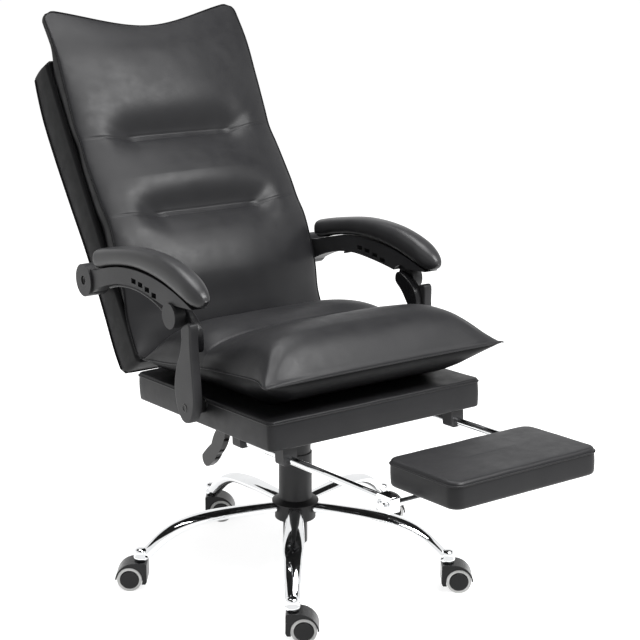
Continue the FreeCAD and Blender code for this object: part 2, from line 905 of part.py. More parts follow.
def make_lever(pin_top):
    """A rod that presses the release pin, bent down outside the tray, with a moulded grip."""
    radius = float(s.lever_rod_radius)
    height = lever_rod_height(pin_top)
    half_grip = float(s.grip_thickness) / 2
    grip_middle = Vector(-float(s.lever_reach), -float(s.lever_set_back), height - float(s.lever_drop))
    points = [
        Vector(float(s.pin_radius), 0, height),
        Vector(-float(s.tray_width) / 2 - float(s.lever_bend_out), 0, height),
        grip_middle + Vector(float(s.lever_elbow), 0, 0),
        grip_middle - Vector(half_grip, 0, 0),
    ]
    lengths = [rod(start, end, radius) for start, end in zip(points, points[1:])]
    knees = [Part.makeSphere(radius, point) for point in points[1:-1]]
    solid_feature("lever_rod", lengths[0].fuse(lengths[1:] + knees).removeSplitter())
    return grip_middle


def make_lever_grip(middle):
    """A paddle in two swelling lengths that hangs down and back from the rod's end."""
    body = new_body("lever_grip")
    half = s.grip_width / 2
    long = s.grip_length
    sketch = new_sketch(body, "YZ_Plane")
    outline(
        sketch,
        ((0, 20), (half - 1, 12)),
        ((half + 3, -long * 0.20), (half - 1, -long * 0.42)),
        ((half + 6, -long * 0.66), (half + 10, -long * 0.84)),
        ((half + 2, -long * 0.93), (-half + 8, -long * 0.88)),
        ((-half - 1, -long * 0.62), (-half - 2, -long * 0.44)),
        ((-half - 5, -long * 0.20), (-half + 1, 12)),
    )
    pad(body, sketch, s.grip_thickness, midplane=True)
    hole = new_sketch(body, "YZ_Plane")
    circle(hole, (0, 0), s.lever_rod_radius + s.running_gap)
    pocket(body, hole, s.grip_thickness * 2, midplane=True)
    tilt = Rotation(Vector(1, 0, 0), float(s.grip_tilt))
    keep(body, "lever_grip", Placement(middle, tilt))


# Seat


def make_seat():
    half = s.seat_width / 2
    bottom = s.seat_height
    panel_top = bottom + s.panel_thickness
    panel = new_body("seat_panel")
    sketch = new_sketch(panel, "XY_Plane", bottom)
    inset = s.panel_margin
    rectangle(sketch, -half + inset, -s.seat_front + inset, half - inset, s.seat_rear - inset)
    pad(panel, sketch, s.panel_thickness)
    for across in (-1, 1):
        for along in (-1, 1):
            hole = new_sketch(panel, "XY_Plane", panel_top)
            centre = (across * s.mount_bolt_spread_x, along * s.mount_bolt_spread_y)
            circle(hole, centre, s.mount_bolt_radius + s.running_gap)
            pocket(panel, hole, s.panel_thickness)
    keep(panel, "seat_panel", seat_frame)

    box = new_body("seat_box")
    sketch = new_sketch(box, "XY_Plane", bottom)
    rectangle(sketch, -half, -s.seat_front, half, s.seat_rear)
    pad(box, sketch, s.seat_thickness)
    round_edges(box, s.seat_corner, runs_along(Vector(0, 0, 1)))
    round_edges(box, s.seat_edge, lies_flat(Vector(0, 0, 1), bottom, bottom + s.seat_thickness))
    recess = new_sketch(box, "XY_Plane", bottom)
    rectangle(recess, -half + inset, -s.seat_front + inset, half - inset, s.seat_rear - inset)
    pocket(box, recess, s.panel_thickness, backwards=True)
    for side in (-1, 1):
        hole = new_sketch(box, "YZ_Plane", side * (half - s.strut_bolt_depth))
        local = seat_frame.inverse().multVec(strut_bolt)
        circle(hole, (local.y, local.z), s.arm_bolt_radius + s.running_gap)
        pocket(box, hole, s.bolt_hole_length, backwards=(side > 0))
    keep(box, "seat_box", seat_frame)


def make_seat_pillow():
    """The loose-looking top cushion: a front roll, a shallow valley and a rear swell."""
    body = new_body("seat_pillow")
    seam = s.seat_height + s.seat_thickness + s.pillow_seam_height
    below = s.pillow_seam_height - s.soft_gap
    roll = s.pillow_roll_height - s.pillow_seam_height
    valley = s.pillow_valley_height - s.pillow_seam_height
    swell = s.pillow_rear_height - s.pillow_seam_height
    front = s.pillow_front
    rear = s.pillow_rear
    sketches = []
    # Stations across the pillow: share of its width, and how full it is there.
    right_half = ((0, 0.32), (0.05, 0.66), (0.16, 0.9))
    left_half = tuple((1 - share, full) for share, full in reversed(right_half))
    width = s.seat_width - 2 * s.pillow_inset
    for share, full in right_half + ((0.5, 1),) + left_half:
        sketch = new_sketch(body, "YZ_Plane", width * (share - 0.5))
        outline(
            sketch,
            (-s.seat_front + 80, seam - below * full),
            ((-front + 38, seam - below * full * 0.62), (-front, seam)),
            ((-front + 128, seam + roll * full), (-60, seam + valley * full)),
            ((40, seam + swell * full), (rear - 40, seam + swell * full * 0.45)),
            (rear - 10, seam - 24 * full),
            (rear, seam - below * full * 0.64),
            (rear - 6, seam - below * full),
        )
        sketches.append(sketch)
    loft(body, sketches)
    keep(body, "seat_pillow", seat_frame)


# Back hinge


def hinge_foot_shape():
    """The fixed leaf: a foot under the seat and an arm that reaches back to the pin."""
    half = float(s.hinge_plate) / 2
    x = float(s.hinge_spread)
    eye = seat_frame.inverse().multVec(hinge_point)
    bottom = float(s.seat_height)
    rear = float(s.seat_rear)
    thick = 4.0
    foot = block(
        (x - float(s.hinge_foot_width) / 2, rear - float(s.hinge_foot_length), bottom - thick),
        (x + float(s.hinge_foot_width) / 2, rear - 6, bottom),
    )
    low = bottom - 34
    points = [
        Vector(x - half, rear - float(s.hinge_foot_length), bottom - thick),
        Vector(x - half, rear - float(s.hinge_foot_length), bottom - 20),
        Vector(x - half, rear - 20, low),
        Vector(x - half, rear + 22, low + 6),
        Vector(x - half, eye.y + 6, eye.z - float(s.hinge_eye_radius) + 2),
        Vector(x - half, eye.y, eye.z),
        Vector(x - half, eye.y - 9, eye.z + 9),
        Vector(x - half, rear - 4, bottom - 2),
        Vector(x - half, rear - 12, bottom - thick),
    ]
    web = Part.Face(Part.makePolygon(points + points[:1])).extrude(Vector(2 * half, 0, 0))
    start = Vector(x - half, eye.y, eye.z)
    way = Vector(1, 0, 0)
    boss = Part.makeCylinder(float(s.hinge_eye_radius), 2 * half, start, way)
    hole = Part.makeCylinder(float(s.hinge_pin_radius + s.running_gap), 2 * half, start, way)
    leaf = foot.fuse([web, boss]).cut(hole).removeSplitter()
    leaf.Placement = seat_frame
    return leaf


def back_bracket_shape():
    """The moving leaf: two cheeks on a plate that is screwed inside the shell's slot."""
    x = float(s.hinge_spread)
    inner = float(s.hinge_plate) / 2 + float(s.side_gap)
    outer = inner + float(s.hinge_cheek)
    eye = hinge_in_back
    radius = float(s.hinge_eye_radius) - 1
    top = float(s.slot_height) - 0.2
    cheeks = []
    for low, high in ((-outer, -inner), (inner, outer)):
        start = Vector(x + low, eye.y, eye.z)
        disc = Part.makeCylinder(radius, high - low, start, Vector(1, 0, 0))
        arm = block((x + low, eye.y - radius, eye.z), (x + high, eye.y + radius, top))
        cheeks.append(disc.fuse(arm))
    plate = block((x - outer, eye.y - radius, top - 12), (x + outer, eye.y + radius, top))
    hole = Part.makeCylinder(
        float(s.hinge_pin_radius + s.running_gap),
        2 * outer,
        Vector(x - outer, eye.y, eye.z),
        Vector(1, 0, 0),
    )
    leaf = plate.fuse(cheeks).cut(hole).removeSplitter()
    leaf.Placement = back_frame
    return leaf


def make_back_hinge():
    solid_feature("hinge_feet", mirrored_pair(hinge_foot_shape()))
    solid_feature("back_brackets", mirrored_pair(back_bracket_shape()))
    x = float(s.hinge_spread)
    reach = float(s.hinge_plate) / 2 + float(s.side_gap) + float(s.hinge_cheek) + 1
    pin = rod(
        Vector(x - reach, 0, 0) + hinge_point,
        Vector(x + reach, 0, 0) + hinge_point,
        s.hinge_pin_radius,
    )
    solid_feature("hinge_pins", mirrored_pair(pin))


# Back


def shell_front(height):
    """How far the shell's front face stands from its rear line at a height up the back."""
    share = as_size(height) / s.shell_height
    return s.shell_depth + (s.shell_top_depth - s.shell_depth) * share


def make_back_shell():
    """The upholstered rear box of the back, gently bowed backwards towards its top."""
    body = new_body("back_shell")
    tall = s.shell_height
    half = s.shell_width / 2
    edge = s.shell_edge
    sketches = []
    # Stations across the shell: place, and how far its outline is drawn in there.
    for place, bevel in (
        (-half, edge),
        (-half + edge * 0.3, edge * 0.3),
        (-half + edge, 0),
        (half - edge, 0),
        (half - edge * 0.3, edge * 0.3),
        (half, edge),
    ):
        sketch = new_sketch(body, "YZ_Plane", place)
        outline(
            sketch,
            (-shell_front(bevel), bevel),
            (-2 - bevel, bevel),
            ((4 - bevel, tall * 0.38), (s.shell_bow * 0.8 - bevel, tall * 0.66)),
            ((s.shell_bow - bevel, tall * 0.84), (s.shell_bow * 0.5 - bevel, tall - bevel)),
            (-shell_front(tall - bevel), tall - bevel),
        )
        sketches.append(sketch)
    loft(body, sketches, ruled=True)
    for side in (-1, 1):
        slot = new_sketch(body, "YZ_Plane", side * s.hinge_spread)
        rectangle(slot, -s.slot_depth, -20, 20, s.slot_height)
        pocket(body, slot, s.slot_width, midplane=True)
    for side in (-1, 1):
        hole = new_sketch(body, "YZ_Plane", side * (half - s.arm_bolt_depth))
        circle(hole, (-s.arm_pivot_in, s.arm_pivot_up), s.arm_bolt_radius + s.running_gap)
        pocket(body, hole, s.bolt_hole_length, backwards=(side > 0))
    keep(body, "back_shell", back_frame)


def cushion_fullness(height):
    """How much of the cushion's swell stands at a height, in the middle and at the sides."""
    # Each station: share of the height, share of the swell in the middle and at the sides.
    stations = (
        (0.0, 0.08, 0.04),
        (0.08, 0.70, 0.30),
        (0.185, 1.04, 0.52),
        (0.31, 1.08, 0.74),
        (0.49, 0.98, 0.66),
        (0.64, 0.94, 0.60),
        (0.79, 0.92, 0.74),
        (0.90, 0.86, 0.80),
        (0.965, 0.74, 0.72),
        (1.0, 0.50, 0.48),
    )
    share = float(height) / float(s.cushion_height)
    for low, high in zip(stations, stations[1:]):
        if share <= high[0]:
            along = (share - low[0]) / (high[0] - low[0])
            return tuple(a + (b - a) * along for a, b in zip(low[1:], high[1:]))
    return stations[-1][1:]


def cushion_heights():
    """Heights of the cushion's sections, each with how far the nearest channel draws it in."""
    plain = (0.005, 0.08, 0.185, 0.29, 0.49, 0.74, 0.83, 0.90, 0.965, 1.0)
    heights = [(s.cushion_height * share, 0.0) for share in plain]
    for channel in (s.lower_channel, s.upper_channel):
        for away, pull in ((-0.75, 0.16), (-0.35, 0.52), (0, 1), (0.35, 0.48), (0.85, 0.10)):
            heights.append((channel + s.channel_fade * away, pull))
    return sorted(heights, key=lambda station: float(station[0]))


def make_back_cushion():
    """The pillow-top back cushion: three rolls between two stitched channels, with raised corners."""
    body = new_body("back_cushion")
    half = s.shell_width / 2
    top = s.cushion_height
    hold = s.channel_half_length
    outside = hold + s.channel_fade
    sketches = []
    for height, pull in cushion_heights():
        middle, side = cushion_fullness(height)
        rear = -shell_front(height) - s.soft_gap
        front = rear - s.cushion_swell * middle
        shoulder = rear - s.cushion_swell * side
        sunk = s.channel_depth * pull
        roll = front + (shoulder - front) * 0.22
        bulge = front + (shoulder - front) * 0.55
        sketch = new_sketch(body, "XY_Plane", height)
        outline(
            sketch,
            (-half, rear),
            (-half, shoulder),
            ((-(half + outside) / 2, bulge + sunk * 0.1), (-outside, roll + sunk * 0.25)),
            (-hold, front + sunk + 2),
            ((0, front + sunk), (hold, front + sunk + 2)),
            (outside, roll + sunk * 0.25),
            (((half + outside) / 2, bulge + sunk * 0.1), (half, shoulder)),
            (half, rear),
        )
        sketches.append(sketch)
    loft(body, sketches, ruled=True)
    dip = new_sketch(body, "XZ_Plane")
    ear = half - s.ear_inset
    above = top + 60
    outline(
        dip,
        (-ear - 40, top + 6),
        (-ear, top - 2),
        ((0, top - s.cushion_dip), (ear, top - 2)),
        (ear + 40, top + 6),
        (ear + 40, above),
        (-ear - 40, above),
    )
    pocket(body, dip, s.shell_depth * 6, midplane=True)
    keep(body, "back_cushion", back_frame)


def make_arm_bolts():
    """A bolt on each side that carries an arm on the shell."""
    way = Vector(1, 0, 0)
    start = float(s.shell_width / 2 - s.arm_bolt_depth)
    head_end = float(arm_inner + s.arm_width - s.bolt_sunk)
    head_start = head_end - float(s.arm_bolt_head_height)
    shank = rod(arm_pivot + way * start, arm_pivot + way * head_start, s.arm_bolt_radius)
    cap = rod(arm_pivot + way * head_start, arm_pivot + way * head_end, s.arm_bolt_head_radius)
    collar = rod(
        arm_pivot + way * float(s.shell_width / 2 + s.side_gap / 2),
        arm_pivot + way * float(arm_inner - s.side_gap),
        s.washer_radius,
    )
    solid_feature("arm_bolts", mirrored_pair(shank.fuse([cap, collar]).removeSplitter()))


# Arms


def side_name(side):
    return "left" if side > 0 else "right"


def knuckle_place():
    """The knuckle from the arm's pivot, as across and up in the side view."""
    away = knuckle - arm_pivot
    return (away.y, away.z)


def moved(point, along, up):
    return (point[0] + along, point[1] + up)


def on_arm(forward, up):
    """A point of an arm's side view, as shares of its length and its height over the pivot."""
    return (-s.arm_length * forward, s.arm_rise * up)


def make_arm(side):
    """A moulded rail from the rear boss to the front knuckle, and the padded rest on it."""
    front_y, front_z = knuckle_place()
    inner = arm_inner
    rail = new_body(f"arm_rail_{side_name(side)}")
    sketch = new_sketch(rail, "YZ_Plane", side * (inner + s.rail_inset))
    radius = s.arm_boss_radius
    outline(
        sketch,
        (-radius * 0.88, -radius * 0.59),
        (on_arm(0.265, 0.17), on_arm(0.416, 0.252)),
        (on_arm(0.551, 0.224), (front_y + 14, front_z + 12)),
        (front_y - 4, front_z + 22),
        on_arm(0.894, 0.308),
        (on_arm(0.504, 0.607), on_arm(0.106, 0.29)),
        (-radius * 0.65, radius * 0.76),
        (0, 0),
    )
    pad(rail, sketch, s.arm_width - 2 * s.rail_inset, backwards=(side < 0))
    boss = new_sketch(rail, "YZ_Plane", side * inner)
    circle(boss, (0, 0), radius)
    pad(rail, boss, s.arm_width, backwards=(side < 0))
    disc_inner = inner + s.arm_width - s.knuckle_width
    disc = new_sketch(rail, "YZ_Plane", side * disc_inner)
    circle(disc, (front_y, front_z), s.knuckle_radius)
    pad(rail, disc, s.knuckle_width, backwards=(side < 0))
    sunk = s.arm_bolt_head_height + s.bolt_sunk
    head_hole = s.arm_bolt_head_radius + s.side_gap
    pin_hole = s.knuckle_pin_radius + s.running_gap
    for place, radius, depth, start in (
        ((0, 0), s.arm_bolt_radius + s.running_gap, s.arm_width, inner),
        ((0, 0), head_hole, sunk, inner + s.arm_width - sunk),
        ((front_y, front_z), pin_hole, s.knuckle_width - s.rail_inset, disc_inner),
    ):
        hole = new_sketch(rail, "YZ_Plane", side * start)
        circle(hole, place, radius)
        pocket(rail, hole, depth, backwards=(side > 0))
    clear = new_sketch(rail, "YZ_Plane", side * inner)
    circle(clear, (front_y, front_z), s.knuckle_radius + 3)
    pocket(rail, clear, s.arm_width - s.knuckle_width, backwards=(side > 0))
    half_cell = s.cell_width / 2
    half_rise = s.cell_height / 2
    for cell in range(int(float(s.cell_count))):
        slot = new_sketch(rail, "YZ_Plane", side * inner)
        middle = -s.cell_start - s.cell_pitch * cell
        # The cells follow the rail's curve down towards the front.
        rise = 41 - 0.6 * cell - 1.1 * cell * cell
        rectangle(slot, middle - half_cell, rise - half_rise, middle + half_cell, rise + half_rise)
        pocket(rail, slot, s.arm_width, backwards=(side > 0))
    keep(rail, f"arm_rail_{side_name(side)}", arm_frame)

    rest = new_body(f"arm_pad_{side_name(side)}")
    gap = s.side_gap
    sketches = []
    # Stations across the pad: share of its width, and how far its top is rounded down there.
    for share, rounding in ((0, 1), (0.14, 0.27), (0.5, 0), (0.86, 0.27), (1, 1)):
        drop = s.pad_edge * rounding
        sketch = new_sketch(rest, "YZ_Plane", side * (inner + s.arm_width * share))
        outline(
            sketch,
            (moved(on_arm(0.074, 0.467), -drop, 0), moved(on_arm(0.09, 0.654), -drop, -drop)),
            (moved(on_arm(0.408, 0.972), 0, -drop), moved(on_arm(0.714, 1.0), 0, -drop)),
            (
                moved(on_arm(0.898, 0.907), drop * 0.5, -drop),
                moved(on_arm(0.996, 0.654), drop, drop * -0.6),
            ),
            (moved(on_arm(0.994, 0.439), drop, 0), moved(on_arm(0.951, 0.336), drop * 0.4, 0)),
            moved(on_arm(0.894, 0.308), 0, gap),
            (moved(on_arm(0.504, 0.607), 0, gap), moved(on_arm(0.106, 0.29), 0, gap)),
        )
        sketches.append(sketch)
    loft(rest, sketches)
    keep(rest, f"arm_pad_{side_name(side)}", arm_frame)


def make_strut(side):
    """The strut between seat and knuckle, with a tongue and pin at its top."""
    body = new_body(f"strut_{side_name(side)}")
    inner = arm_inner
    away = knuckle - strut_bolt
    sketches = []
    wide = s.strut_swell
    tall = float(away.z)
    # Stations across the strut: share of its width, and how much of the bevel stands there.
    for share, bevelled in ((0, 0), (0.86, 0), (1, 1)):
        bevel = s.strut_bevel * bevelled
        sketch = new_sketch(body, "YZ_Plane", side * (inner + s.strut_width * share))
        outline(
            sketch,
            ((wide * 0.82 - bevel, tall * -0.08 + bevel), (wide - bevel, tall * 0.14)),
            ((wide * 0.82 - bevel, tall * 0.385), (wide * 0.32 - bevel, tall * 0.56)),
            ((wide * 0.18 - bevel, tall * 0.736), (wide * 0.32 - bevel, tall * 0.888 - bevel)),
            (wide * -0.64 + bevel, tall - bevel),
            ((wide * -0.82 + bevel, tall * 0.642), (wide * -0.82 + bevel, tall * 0.292)),
            ((wide * -0.86 + bevel, tall * -0.035), (wide * -0.23, tall * -0.175 + bevel)),
        )
        sketches.append(sketch)
    loft(body, sketches, ruled=True)
    tongue = new_sketch(body, "YZ_Plane", side * inner)
    outline(
        tongue,
        (wide * -0.45, tall * 0.69),
        (wide * 0.23, tall * 0.69),
        (away.y + 12, away.z - 10),
        ((away.y + 9, away.z + 12), (away.y - 6, away.z + 14)),
        (wide * -0.59, tall * 0.963),
    )
    tongue_width = s.arm_width - s.knuckle_width - s.side_gap
    pad(body, tongue, tongue_width, backwards=(side < 0))
    pin = new_sketch(body, "YZ_Plane", side * inner)
    circle(pin, (away.y, away.z), s.knuckle_pin_radius)
    pin_length = tongue_width + s.knuckle_width - s.rail_inset - 2
    pad(body, pin, pin_length, backwards=(side < 0))
    hole = new_sketch(body, "YZ_Plane", side * inner)
    circle(hole, (0, 0), s.arm_bolt_radius + s.running_gap)
    pocket(body, hole, s.strut_width, backwards=(side > 0))
    recess = new_sketch(
        body, "YZ_Plane", side * (inner + s.strut_width - s.arm_bolt_head_height - 0.4)
    )
    circle(recess, (0, 0), s.arm_bolt_head_radius + 0.4)
    pocket(body, recess, s.strut_width, backwards=(side > 0))
    keep(body, f"strut_{side_name(side)}", strut_frame)


# Footrest


def make_rail_guides():
    """Two guide blocks a side, screwed under the seat, that the rails slide in."""
    x = float(s.rail_spread)
    half = float(s.guide_width) / 2
    top = float(s.seat_height)
    axis = top - float(s.rail_drop)
    blocks = []
    for place in (float(s.front_guide), float(s.rear_guide)):
        start = -place - float(s.guide_length) / 2
        end = start + float(s.guide_length)
        solid = block((x - half, start, axis - float(s.guide_below)), (x + half, end, top))
        along = [edge for edge in solid.Edges if runs_along(Vector(0, 1, 0))(edge)]
        lower = [edge for edge in along if edge.BoundBox.ZMax < axis]
        solid = solid.makeFillet(6, lower)
        hole = rod(
            Vector(x, start - 1, axis), Vector(x, end + 1, axis), s.rail_radius + s.running_gap
        )
        blocks.append(solid.cut(hole))
    pairs = [solid.mirror(Vector(), Vector(1, 0, 0)) for solid in blocks]
    solid_feature("rail_guides", Part.makeCompound(blocks + pairs), seat_frame)


def crossbar_axis():
    """The flip axis of the footrest in the seat's frame."""
    return Vector(
        0,
        -float(s.rail_front) - 6,
        float(s.seat_height - s.rail_drop - s.crossbar_drop),
    )


def make_footrest_frame():
    x = float(s.rail_spread)
    axis = float(s.seat_height - s.rail_drop)
    front = -float(s.rail_front)
    rear = front + float(s.rail_length)
    stop = rod(
        Vector(x, rear - float(s.rail_stop_length), axis), Vector(x, rear, axis), s.rail_stop_radius
    )
    rail = rod(Vector(x, front, axis), Vector(x, rear, axis), s.rail_radius).fuse(stop)
    solid_feature("footrest_rails", mirrored_pair(rail), seat_frame)

    bar = crossbar_axis()
    half = float(s.bracket_width) / 2
    length = float(s.bracket_length)
    low = axis - float(s.bracket_height) / 2 - 4
    bracket = block(
        (x - half, bar.y - length / 2, low),
        (x + half, bar.y + length / 2, low + float(s.bracket_height)),
    )
    corners = [edge for edge in bracket.Edges if runs_along(Vector(1, 0, 0))(edge)]
    bracket = bracket.makeFillet(5, corners)
    rail_hole = rod(
        Vector(x, front, axis), Vector(x, rear, axis), s.rail_radius + s.running_gap
    )
    bar_hole = rod(
        Vector(x - half - 1, bar.y, bar.z),
        Vector(x + half + 1, bar.y, bar.z),
        s.crossbar_radius + s.running_gap,
    )
    bracket = bracket.cut(rail_hole).cut(bar_hole)
    solid_feature("footrest_brackets", mirrored_pair(bracket), seat_frame)
    reach = Vector(x + half + 3, 0, 0)
    solid_feature("footrest_crossbar", rod(bar - reach, bar + reach, s.crossbar_radius), seat_frame)


def make_footrest_pad():
    """The footrest cushion, and the two hinge arms under it that turn on the crossbar."""
    bottom = s.seat_height - s.rail_drop + s.footrest_lift
    half = s.footrest_width / 2
    rear = s.footrest_rear
    front = rear + s.footrest_depth
    body = new_body("footrest_pad")
    sketch = new_sketch(body, "XY_Plane", bottom)
    rectangle(sketch, -half, -front, half, -rear)
    pad(body, sketch, s.footrest_thickness)
    round_edges(body, s.footrest_corner, runs_along(Vector(0, 0, 1)))
    level_edges = lies_flat(Vector(0, 0, 1), bottom, bottom + s.footrest_thickness)
    round_edges(body, s.footrest_edge, level_edges)
    keep(body, "footrest_pad", seat_frame)

    bar = crossbar_axis()
    x = float(s.footrest_arm_spread)
    wide = float(s.footrest_arm_width) / 2
    low = float(bottom)
    eye = float(s.crossbar_radius) + 3.5
    start = Vector(x - wide, bar.y, bar.z)
    boss = Part.makeCylinder(eye, 2 * wide, start, Vector(1, 0, 0))
    plate = block((x - wide, bar.y - 92, low - 3), (x + wide, bar.y + 34, low))
    hole = Part.makeCylinder(
        float(s.crossbar_radius + s.running_gap), 2 * wide, start, Vector(1, 0, 0)
    )
    top = block((x - wide, bar.y - eye, low), (x + wide, bar.y + eye, low + 20))
    arm = boss.fuse(plate).cut(top).cut(hole).removeSplitter()
    solid_feature("footrest_hinge_arms", mirrored_pair(arm), seat_frame)


# The whole chair

make_star_base()
for number in range(1, int(float(s.leg_count)) + 1):
    make_caster(number)
bearing_top = make_column()
pin_top = make_gas_spring(bearing_top)
make_covers()
make_mechanism(pin_top)
make_seat_bolts()
make_lever_grip(make_lever(pin_top))
make_seat()
make_seat_pillow()
make_back_hinge()
make_back_shell()
make_back_cushion()
make_arm_bolts()
for side in (-1, 1):
    make_arm(side)
    make_strut(side)
make_rail_guides()
make_footrest_frame()
make_footrest_pad()
doc.recompute()

for thing in doc.Objects:
    if {"Invalid", "Error"} & set(thing.State):
        raise RuntimeError(f"{thing.Label} failed to build: {thing.State}")
for node in nodes:
    if node.Shape.isNull() or not node.Shape.isValid():
        raise RuntimeError(f"{node.Label} has no valid shape")

os.makedirs("parts", exist_ok=True)
for node in nodes:
    node.Shape.exportStep(f"parts/{node.Label}.step")
print(len(nodes), "parts")
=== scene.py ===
import json
import math

import bmesh
import bpy
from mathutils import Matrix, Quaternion, Vector, noise


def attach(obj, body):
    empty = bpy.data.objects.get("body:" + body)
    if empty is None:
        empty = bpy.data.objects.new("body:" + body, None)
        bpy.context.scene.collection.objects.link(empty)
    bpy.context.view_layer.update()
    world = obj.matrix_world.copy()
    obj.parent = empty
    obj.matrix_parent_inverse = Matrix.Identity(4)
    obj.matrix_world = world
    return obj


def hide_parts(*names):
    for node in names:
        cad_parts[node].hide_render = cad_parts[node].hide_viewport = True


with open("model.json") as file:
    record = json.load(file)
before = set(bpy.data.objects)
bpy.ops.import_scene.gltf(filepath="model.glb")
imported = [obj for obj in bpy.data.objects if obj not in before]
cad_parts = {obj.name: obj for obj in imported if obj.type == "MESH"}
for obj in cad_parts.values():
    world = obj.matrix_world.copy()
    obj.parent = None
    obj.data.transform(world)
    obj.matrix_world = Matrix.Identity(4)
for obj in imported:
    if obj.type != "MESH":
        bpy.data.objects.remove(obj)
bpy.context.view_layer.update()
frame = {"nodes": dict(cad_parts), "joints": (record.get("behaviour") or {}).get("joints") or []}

# Reclining office chair with footrest. Sizes in the script are millimetres unless they say metres.
# Each cushion is built in the frame of what it lies on: the tilted seat or the leaning back.

MM = 0.001
SEAT_TILT = math.radians(3.84)
BACK_LEAN = math.radians(31.5)
SEAT_UNDERSIDE = Vector((0.0, 0.0, 370.0))
HINGE_FORWARD = 12.0
HINGE_UP = 27.0


def joint(name):
    return next(j for j in frame["joints"] if j["name"] == name)


HINGE = Vector(joint("recline")["pos_m"]) / MM
SEAT_BACKWARD = Vector((0.0, math.cos(SEAT_TILT), -math.sin(SEAT_TILT)))
SEAT_UP = Vector((0.0, math.sin(SEAT_TILT), math.cos(SEAT_TILT)))
BACK_FORWARD = Vector((0.0, -math.cos(BACK_LEAN), math.sin(BACK_LEAN)))
BACK_UP = Vector((0.0, math.sin(BACK_LEAN), math.cos(BACK_LEAN)))
BACK_FOOT = HINGE - BACK_FORWARD * HINGE_FORWARD - BACK_UP * HINGE_UP
SIDEWAYS = Vector((1.0, 0.0, 0.0))
SIDES = ((-1, "right"), (1, "left"))


def seat_place(across, backward, up):
    """A point in metres from its place in the seat's frame, with up measured from the underside."""
    return (SEAT_UNDERSIDE + SIDEWAYS * across + SEAT_BACKWARD * backward + SEAT_UP * up) * MM


def back_place(across, forward, up):
    """A point in metres from its place in the back's frame, with forward measured from the rear line."""
    return (BACK_FOOT + SIDEWAYS * across + BACK_FORWARD * forward + BACK_UP * up) * MM


def put_in_scene(name, data):
    thing = bpy.data.objects.new(name, data)
    bpy.context.scene.collection.objects.link(thing)
    return thing


# Camera, as in the photograph

CAMERA_PLACE = (-1.6919, -2.5343, 1.3696)
CAMERA_AZIMUTH = math.radians(-34.64)
CAMERA_ELEVATION = math.radians(15.31)
CAMERA_ROLL = math.radians(0.37)
FOCAL_PIXELS = 1580.65
FRAME_PIXELS = 640.0
SENSOR_WIDTH = 36.0
FARTHEST_SEEN = 30.0


def make_camera():
    data = bpy.data.cameras.new("camera")
    data.sensor_width = SENSOR_WIDTH
    data.lens = FOCAL_PIXELS / FRAME_PIXELS * SENSOR_WIDTH
    data.clip_end = FARTHEST_SEEN
    camera = put_in_scene("camera", data)
    level = math.cos(CAMERA_ELEVATION)
    forward = Vector((
        -math.sin(CAMERA_AZIMUTH) * level,
        math.cos(CAMERA_AZIMUTH) * level,
        -math.sin(CAMERA_ELEVATION),
    ))
    camera.location = CAMERA_PLACE
    camera.rotation_mode = "QUATERNION"
    roll = Quaternion((0.0, 0.0, 1.0), CAMERA_ROLL)
    camera.rotation_quaternion = forward.to_track_quat("-Z", "Y") @ roll
    bpy.context.scene.camera = camera


# Numbers and curves


def smooth_step(low, high, value):
    share = min(1.0, max(0.0, (value - low) / (high - low)))
    return share * share * (3.0 - 2.0 * share)


def curve_at(stations, place):
    """A smooth curve through (place, height) stations, flat beyond the first and the last."""
    if place <= stations[0][0]:
        return stations[0][1]
    if place >= stations[-1][0]:
        return stations[-1][1]
    index = next(i for i, station in enumerate(stations) if station[0] > place) - 1
    before, after = stations[max(index - 1, 0)], stations[min(index + 2, len(stations) - 1)]
    start, end = stations[index], stations[index + 1]
    span = end[0] - start[0]
    leave = (end[1] - before[1]) / (end[0] - before[0]) * span
    arrive = (after[1] - start[1]) / (after[0] - start[0]) * span
    t = (place - start[0]) / span
    return (
        start[1] * (2 * t ** 3 - 3 * t ** 2 + 1)
        + leave * (t ** 3 - 2 * t ** 2 + t)
        + end[1] * (3 * t ** 2 - 2 * t ** 3)
        + arrive * (t ** 3 - t ** 2)
    )


def crease(x, y, start, end, width, depth):
    """The depth of a fold that starts full at one point and fades out at the other."""
    along_x, along_y = end[0] - start[0], end[1] - start[1]
    share = ((x - start[0]) * along_x + (y - start[1]) * along_y) / (along_x ** 2 + along_y ** 2)
    share = min(1.0, max(0.0, share))
    distance = math.hypot(x - start[0] - along_x * share, y - start[1] - along_y * share)
    return depth * (1.0 - share) ** 0.7 * math.exp(-((distance / width) ** 2))


def unevenness(point, size, seed):
    """A soft irregular number between about -1 and 1 that changes over the given size."""
    return noise.noise(Vector(point) / size + Vector((seed * 7.31, seed * 3.17, seed * 5.73)))


# Mesh helpers

SAME_PLACE = 1e-7
BEAD_SIDES = 8


def new_object(name, points, faces, material, body, slot):
    """A smooth shaded mesh that rides a body. Its slot argument is not used."""
    mesh = bpy.data.meshes.new(name)
    mesh.from_pydata(points, [], faces)
    mesh.validate()
    for polygon in mesh.polygons:
        polygon.use_smooth = True
    thing = put_in_scene(name, mesh)
    thing.data.materials.append(material)
    face_outwards(thing)
    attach(thing, body)
    return thing


def face_outwards(thing):
    """Joins points that coincide and turns all faces outwards."""
    mesh = bmesh.new()
    mesh.from_mesh(thing.data)
    bmesh.ops.remove_doubles(mesh, verts=mesh.verts, dist=SAME_PLACE)
    bmesh.ops.recalc_face_normals(mesh, faces=mesh.faces)
    mesh.to_mesh(thing.data)
    mesh.free()


def panel_grid(surface, columns, rows):
    """Points of a panel. The surface takes u from -1 to 1 across it and v from 0 to 1 up it."""
    return [
        [surface(-1.0 + 2.0 * i / columns, j / rows) for i in range(columns + 1)]
        for j in range(rows + 1)
    ]


